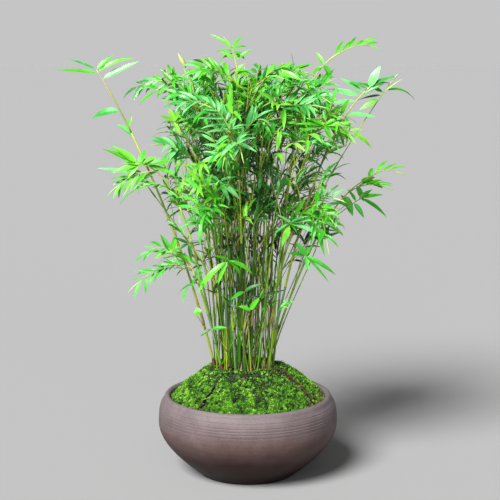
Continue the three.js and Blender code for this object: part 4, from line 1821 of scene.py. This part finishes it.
# %% [markdown]
# ## The leading shoots
# The strong shoots that stand out of the crown are nearly bare, and each has its own look, so
# their last leaves are set one by one. A row without a word is a leaf: how far below the tip it
# grows in mm, its bearing and rise in degrees, its length and width in mm, and how far it arches
# over. Other rows name what grows and have no width. Feathers say from which share of their
# length they are leafy, and a comb is a feather with leaves on its upper side only. Shoots that
# are bushy lower down keep the twigs of the rule there. Three thin shoots beside them are given
# leaves in the same way.

# %% What grows at the tips
tip_growth = {
    "far_left": [
        (0, 178, 24, 29, 3.4, 0.2), (5, 182, 6, 40, 5.5, 0.15), (1, 18, 42, 20, 5.6, 0.2),
        (4, -6, 34, 35, 5, 1.3), (15, 4, 28, 36, 7.2, 0.2), (56, 176, 2, 29, 7.5, 0.7),
        (84, 196, 40, 18, 8.5, 0.3), (83, -8, 24, 25, 4.2, 1.1), (74, 20, 72, 11, 3, 0.2),
    ],
    "left_arch": [
        (0, 176, 27, 33, 6, 0.2), (3, 168, 36, 31, 7, 0.3), (6, 50, 62, 15, 7, 0.3),
        (8, 6, 28, 18, 6.5, 0.4), (14, -8, 15, 27, 7, 0.4), (3, 215, -48, 15, 7, 0.2),
        (9, 194, -10, 27, 6, 0.3), (17, -4, -12, 28, 6, 0.4), (20, 190, 16, 26, 5, 0.5),
        ("feather", 32, 187, -16, 34, 0.2),
    ],
    "low_left": [
        (0, 182, 4, 20, 4, 0.2), (4, 176, 62, 18, 5.5, 0.2), (7, 10, 78, 15, 6, 0.3),
        (10, -8, 30, 17, 5.5, 0.3), (5, 196, -8, 17, 4.5, 0.6), (12, -12, -34, 15, 6, 0.3),
        (16, -6, -28, 24, 5.5, 0.4), ("feather", 14, 184, 6, 25, 0.3), ("feather", 46, 190, -3, 48, 0.4),
    ],
    "left_bud": [
        ("bud", 0, 175, 62, 14), (20, 8, 46, 24, 4.2, 0.3), (25, 22, 38, 24, 3.4, 0.4),
        (18, 176, 8, 19, 4, 1.2), (15, -6, -44, 13, 7, 0.4), (30, 200, 20, 20, 4.5, 0.6),
        ("feather", 38, 176, 16, 54, 0.12), ("feather", 24, 182, -8, 34, 0.12),
    ],
    "top": [
        (2, 168, 38, 25, 4.5, 0.3), (7, 186, 14, 17, 5, 0.5), (3, 8, 28, 15, 4, 0.9),
        (6, -8, -12, 13, 4.5, 1.2), (13, 15, 22, 13, 4.5, 0.6), ("spear", 1, 165, 50, 14),
        (0, 30, 48, 17, 4.5, 0.5), (9, 172, -14, 16, 5, 0.8), (18, 4, 38, 18, 4.5, 0.4),
        (16, 186, 30, 15, 4.5, 0.4),
    ],
    "top_right": [
        ("comb", 30.5, 2, 25, 45, 0.16), ("spear", 34, 6, 40, 22), (32, 150, 60, 14, 5, 0.3),
        (34, 176, -28, 15, 6, 1.4), (33, -6, -50, 14, 8, 0.3),
    ],
    "far_right": [
        (33, 180, -3, 27, 5, 0.1), (25, 176, 16, 28, 7, 0.2), (20, 184, 38, 25, 6, 0.3),
        (12, 178, 24, 24, 5.5, 0.3), (24, -6, 32, 23, 7, 0.3), (10, 0, 66, 22, 7.5, 0.3),
        (52, 0, 2, 27, 5.5, 0.3), (54, -30, -62, 13, 4, 0.5), (6, 4, 30, 26, 5.5, 0.6),
        (2, 10, 10, 20, 5, 0.5),
    ],
    "low_right": [
        ("comb", 8, -3, 20, 26, 0.12), (6, 30, 74, 10, 5, 0.3), ("comb", 40, -10, 12, 34, 0.2),
        (20, 8, 26, 15, 6.5, 0.3), (16, -8, -4, 20, 7, 0.9), (26, 10, -62, 17, 6, 0.3),
        (44, -20, -66, 20, 7, 0.3),
    ],
    "by_far_right": [
        ("spear", 0, 8, 52, 20), ("spear", 4, -14, 36, 22), (1, -4, 10, 31, 6, 1.9),
        (4, 182, 24, 26, 6, 0.3), (8, 176, -6, 24, 5, 0.4), (14, 190, -24, 20, 5, 0.4),
        (60, 184, -50, 15, 4, 0.4),
    ],
    "by_left_arch": [(0, 184, 10, 37, 5.5, 0.1), (3, 196, -14, 26, 5, 0.2), (10, 4, 40, 18, 5, 0.4)],
    "by_low_right": [
        (0, 0, 12, 20, 5.5, 0.5), (2, -6, -26, 30, 5, 0.9), (6, 10, 40, 16, 5, 0.3),
        (10, 175, 58, 14, 4.5, 0.3), (14, -4, -50, 17, 6, 0.3), (22, 186, 30, 15, 5, 0.4),
    ],
}
main_greens = {"far_left": "cool", "left_arch": "bright", "low_left": "green", "left_bud": "cool",
               "top": "bright", "top_right": "bright", "far_right": "cool", "low_right": "bright",
               "by_far_right": "green", "by_left_arch": "cool", "by_low_right": "green"}
bushy_below = {"left_arch": 34, "low_left": 24, "left_bud": 48, "top": 46, "top_right": 44, "low_right": 62}
stems_end_below = {"top_right": 30}
tip_reach = spray_reach + 15
print(sum(len(rows) for rows in tip_growth.values()), "rows for", len(tip_growth), "shoots")

# %% [markdown]
# The rows are read one by one, and their leaves face up and to the front, where the light is.

# %% Grow the leading shoots
front = np.array([0.0, -1.0, 0.0])


def grow_bud(crown, foot, onward, length):
    radii = [0.5, 1.2, 1.9, 2.1, 1.8, 1.2, 0.6, 0.1]
    path = foot + np.outer(np.linspace(-1, length, len(radii)), onward)
    add_tube(crown.twigs, path, radii, 8, pale_bud)


def grow_tip(crown, shoot, draw):
    """Grows the rows of a shoot's own list; where a row has no room, it is left out."""
    tip = shoot.curve.points(1.0)

    def within_reach(point):
        return np.linalg.norm(point - tip) < tip_reach and point[2] < crown_top + 3

    for row in tip_growth[shoot.name]:
        kind, below, bearing, rise, length, *blade = row if isinstance(row[0], str) else ("leaf", *row)
        foot = point_below_tip(shoot, below)
        rise = math.radians(rise)
        onward = point_at(math.radians(bearing), math.cos(rise), math.sin(rise))
        green = main_greens[shoot.name] if draw(0, 1) < 0.65 else "bright"
        facing = unit(up + draw(0.5, 1.1) * front)
        growth = Growth(crown, draw, green, usual_leaf, within_reach, facing)
        if kind == "leaf":
            width, arch = blade
            growth.leaf(foot, onward, facing, length, width, arch)
        elif kind in ("feather", "comb"):
            grow_feather(growth, foot, foot + length * onward, *blade, one_sided=kind == "comb")
        elif kind == "spear":
            growth.spear(foot, onward, length)
        else:
            grow_bud(crown, foot, onward, length)


tip_draw = seeded(8101)
for index, shoot in enumerate(crown_groups["leaders"]):
    add_stem(crowns["leaders"], shoot, stems_end_below.get(shoot.name, 0))
    if shoot.name in bushy_below:
        grow_spray(crowns["leaders"], shoot, index, main_greens[shoot.name], lowest=bushy_below[shoot.name])
    grow_tip(crowns["leaders"], shoot, tip_draw)
for shoot in thin_shoots[:len(companions)]:
    grow_tip(crowns["leaders"], shoot, tip_draw)
print(f"leaders: {len(crowns['leaders'].leaves)} leaves")

# %% [markdown]
# ## Branchlets
# Branchlets leave a node at a narrow V and run nearly upright, so that from a distance the clump
# is full of fine pale lines. High up most end in a feather, and lower down in a few leaves.

# %% Branchlets on the culms
branch_start_height = 118
full_leaf_height = 290
branchlet_radius = 0.42
bare_culm_end = 0.97
crown_foot_half_width = 22
crown_widening = 0.47
# shares of nodes that branch and of branchlets that are feathers: low down, and what height adds
branching_share, branching_growth = 0.26, 0.5
feathered_share, feathered_growth = 0.2, 0.45


def inside_crown(point):
    """Whether a point lies in the crown, which widens upwards from the clump to its full width."""
    spread = crown_foot_half_width + crown_widening * (point[2] - soil_crown_height)
    widest = min(crown_half_width, spread)
    return point[2] < crown_body_top and sideways_reach(point) < widest


def grow_branchlets(crown, shoot, draw):
    """Grows a culm's branchlets, on one side and the other from node to node."""
    side_turn = draw(0, 2 * math.pi)
    nodes = node_shares(shoot)
    if not shoot.leafy:
        nodes = nodes + [bare_culm_end]
    for node in nodes:
        side_turn += math.pi + draw(-0.5, 0.5)
        root = shoot.curve.points(node)
        level = np.clip((root[2] - branch_start_height) / (full_leaf_height - branch_start_height), 0, 1)
        if root[2] < branch_start_height or draw(0, 1) > branching_share + branching_growth * level:
            continue
        onward = shoot.curve.tangents(node)
        aside = unit(np.cross(onward, point_at(side_turn, 1, 0)))
        angle = math.radians(draw(8, 28))
        length = draw(16, 36) + 24 * level
        end = root + length * (math.cos(angle) * onward + math.sin(angle) * aside)
        if not inside_crown(end) or not clear_of_culms(root + 0.25 * (end - root), end, 0.5):
            continue
        # the lower a branchlet, the likelier it takes the deep green, painted shade low in the clump
        green = "deep" if draw(0, 1) < 0.5 * (1.3 - level) else pick_green("green", draw)
        growth = Growth(crown, draw, green, usual_leaf * (0.7 + 0.25 * level), inside_crown)
        if draw(0, 1) < feathered_share + feathered_growth * level:
            grow_feather(growth, root, end, leafy_from=0.45, radius=branchlet_radius)
        else:
            grow_hand(growth, root, end, branchlet_radius, fingers=1 + int(draw(0, 2) + 3 * level))


for number, shoot in enumerate(all_shoots):
    grow_branchlets(crowns["branchlets"], shoot, seeded(9001 + 53 * number))
print("branchlets:", len(crowns["branchlets"].leaves), "leaves")

# %% [markdown]
# Some larger fans of leaves hang out of the front of the clump, pale against its shade. Each
# grows from the cane that stands nearest to it, from a point a little lower. Their leaves are set
# one by one, by their angle as seen from the front, with 0 to the right and 90 upwards. A few
# large feathers arch out over the front of the crown in the same way.

# %% Fans in front
fan_drop = 24
# place of a fan, its green, and the angle, length, width and arch of its leaves
front_fans = [
    ((36, -52, 236), "cool", [
        (165, 20, 4, 0.4), (184, 22, 4.5, 0.5), (206, 18, 4, 0.5), (30, 19, 4, 0.4), (13, 21, 4.5, 0.4),
        (-10, 28, 4.5, 0.5), (140, 14, 4, 0.3),
    ]),
    ((36, -53, 234), "young", [(-112, 20, 6, 0.3)]),
    ((-24, -52, 272), "cool", [
        (192, 26, 4, 0.5), (168, 17, 4, 0.4), (146, 14, 4, 0.4), (22, 20, 4, 0.4), (-4, 20, 4, 0.5),
        (-34, 24, 4.5, 0.5), (-60, 20, 4.5, 0.4),
    ]),
    ((-17, -48, 203), "bright", [
        (212, 42, 5.4, 1.5), (-10, 26, 5, 1.1), (-34, 24, 4.5, 1.3), (155, 14, 4, 0.4), (240, 24, 4, 0.8),
    ]),
    ((-38, -46, 236), "green", [
        (184, 23, 4, 0.4), (165, 18, 4, 0.4), (95, 11, 4, 0.3), (38, 24, 4.5, 0.3), (-12, 16, 4, 0.6),
    ]),
    ((50, -40, 206), "green", [
        (118, 15, 6, 0.4), (165, 17, 4, 0.4), (-24, 32, 5, 0.5), (-42, 32, 3, 0.7), (-78, 14, 4, 0.4),
        (60, 12, 4, 0.4),
    ]),
    ((-11, -62, 312), "cool", [(-100, 19, 9, 0.3)]),
    ((-10, -30, 362), "young", [(62, 13, 5, 0.9), (12, 15, 6, 1.6)]),
    # the next two fans sit back inside the clump, and their deep green is painted shade
    ((64, -20, 232), "deep", [(20, 18, 5, 0.4), (55, 16, 4, 0.4), (150, 15, 4, 0.4), (-50, 18, 5, 0.5)]),
    ((-52, -24, 214), "deep", [(200, 18, 4, 0.4), (150, 16, 4, 0.4), (20, 15, 4, 0.4), (-80, 16, 4, 0.5)]),
    ((64, -64, 320), "bright", [
        (172, 26, 4, 0.4), (188, 24, 4, 0.4), (150, 18, 4, 0.4), (10, 22, 4, 0.5), (-14, 24, 4.5, 0.5),
        (-60, 15, 5, 0.4), (35, 16, 4, 0.4),
    ]),
    ((-63, -44, 322), "young", [
        (105, 13, 5, 0.3), (62, 12, 5, 0.3), (150, 14, 4, 0.4), (-60, 13, 5, 0.4), (18, 14, 4, 0.4),
    ]),
    ((-3, -40, 174), "green", [(35, 18, 4.5, 0.5), (200, 14, 4, 0.4)]),
    ((2, -42, 158), "bright", [(60, 15, 5, 0.4), (150, 11, 5, 0.5)]),
    ((-32, -36, 140), "green", [(14, 15, 5.5, 0.5), (205, 12, 4, 0.5)]),
    ((-48, -14, 150), "bright", [(20, 8, 8, 0.4)]),
]
# where a feather leaves its cane, where it ends, and its green
front_feathers = [
    ((8, -35, 343), (47, -50, 371), "bright"),
    ((11, -48, 328), (52, -62, 341), "cool"),
    ((35, -50, 338), (88, -58, 316), "young"),
    ((-45, -40, 284), (-70, -54, 305), "cool"),
    ((-18, -40, 328), (-52, -58, 344), "cool"),
    ((-8, -40, 345), (-36, -56, 368), "bright"),
]


def nearest_cane(point):
    """The point of the canes nearest to the given one."""
    points = culm_lines.reshape(-1, 3)
    return points[np.linalg.norm(points - point, axis=1).argmin()]


def anywhere(_):
    return True


fan_draw = seeded(653)
for place, green, leaves in front_fans:
    end = np.array(place, float)
    root = nearest_cane(end - fan_drop * up)
    path = bezier([root, 0.4 * root + 0.6 * end + 5 * up, end], np.linspace(0, 1, 6))
    add_tube(crowns["branchlets"].twigs, path, np.linspace(0.45, 0.3, 6), 5, twig_yellow)
    facing = up + fan_draw(0.7, 1.2) * front
    growth = Growth(crowns["branchlets"], fan_draw, green, usual_leaf, anywhere, facing)
    for angle, length, width, arch in leaves:
        turn = math.radians(angle)
        growth.leaf(end, np.array([math.cos(turn), -0.3, math.sin(turn)]), facing, length, width, arch)
for start, end, green in front_feathers:
    facing = unit(up + fan_draw(0.7, 1.2) * front)
    growth = Growth(crowns["branchlets"], fan_draw, green, 1.1 * usual_leaf, anywhere, facing)
    grow_feather(growth, nearest_cane(np.array(start)), np.array(end, float), leafy_from=0.3)
print(len(front_fans), "fans and", len(front_feathers), "feathers in front")

# %% [markdown]
# ## From heaps to pieces
# The leaves of a group become one mesh and its twigs another. Together the pieces of a group
# stand for the solid sprays of that group. A leaf's rib is a crease, so the edges along it are
# kept sharp while the two halves are shaded smooth.

# %% Make the crown's pieces
def crease_ribs(piece):
    """Sharpens each edge whose two corners both lie on a rib, the middle one of every three corners."""
    mesh = piece.data
    ends = np.zeros(2 * len(mesh.edges), np.int32)
    mesh.edges.foreach_get("vertices", ends)
    on_rib = (ends.reshape(-1, 2) % 3 == 1).all(axis=1)
    crease = mesh.attributes.new("sharp_edge", "BOOLEAN", "EDGE")
    crease.data.foreach_set("value", on_rib)


for group, crown in crowns.items():
    blades = Heap()
    for leaf in crown.leaves:
        blades.add(blade_corners(leaf), leaf_facets, leaf.finish, leaf_spread)
    solids = [f"spray_{shoot.name}" for shoot in crown_groups.get(group, [])]
    make_piece(f"{group}_twigs", crown.twigs, twig_finishes, solids)
    crease_ribs(make_piece(f"{group}_leaves", blades, leaf_finishes, solids))

# %% [markdown]
# ## Litter
# Dry sheaths and dead leaves lie on the mound among the feet of the culms and along the seams of
# the moss. They are flakes of the leaf's own shape, short and curled, in the papery finishes.

# %% Scatter the litter
litter = Heap()
litter_draw = seeded(613)
flakes_on_crown = 110
flakes_on_seam = 48


def lay_flake(x, y, lift):
    turn = litter_draw(0, 2 * math.pi)
    flat = point_at(turn, 1, litter_draw(-0.15, 0.3))
    foot = np.array([x, y, soil_height(math.hypot(x, y)) + lift])
    length = litter_draw(3, 8)
    flake = Leaf(foot, flat, up + 0.4 * point_at(litter_draw(0, 6.3), 1, 0), length,
                 length * litter_draw(0.2, 0.4), litter_draw(-0.5, 0.9), litter_draw(-1.2, 1.2), 0.5, 0)
    litter.add(blade_corners(flake), leaf_facets, int(litter_draw(0, 3.99)))


for _ in range(flakes_on_crown):
    share = math.sqrt(litter_draw(0, 1))
    x, y, _ = spot_on_mound(1.12 * share, litter_draw(0, 2 * math.pi))
    lay_flake(x, y, litter_draw(0.3, 1.6))
for _, seam_bearing in moss_cushions.values():
    for _ in range(flakes_on_seam):
        bearing = math.radians(seam_bearing + litter_draw(-4, 4))
        radius = litter_draw(moss_inner_radius, moss_outer_radius - 3)
        lay_flake(radius * math.cos(bearing), radius * math.sin(bearing), litter_draw(0.8, 2.8))
make_piece("dry_litter", litter, sheath_finishes, [])
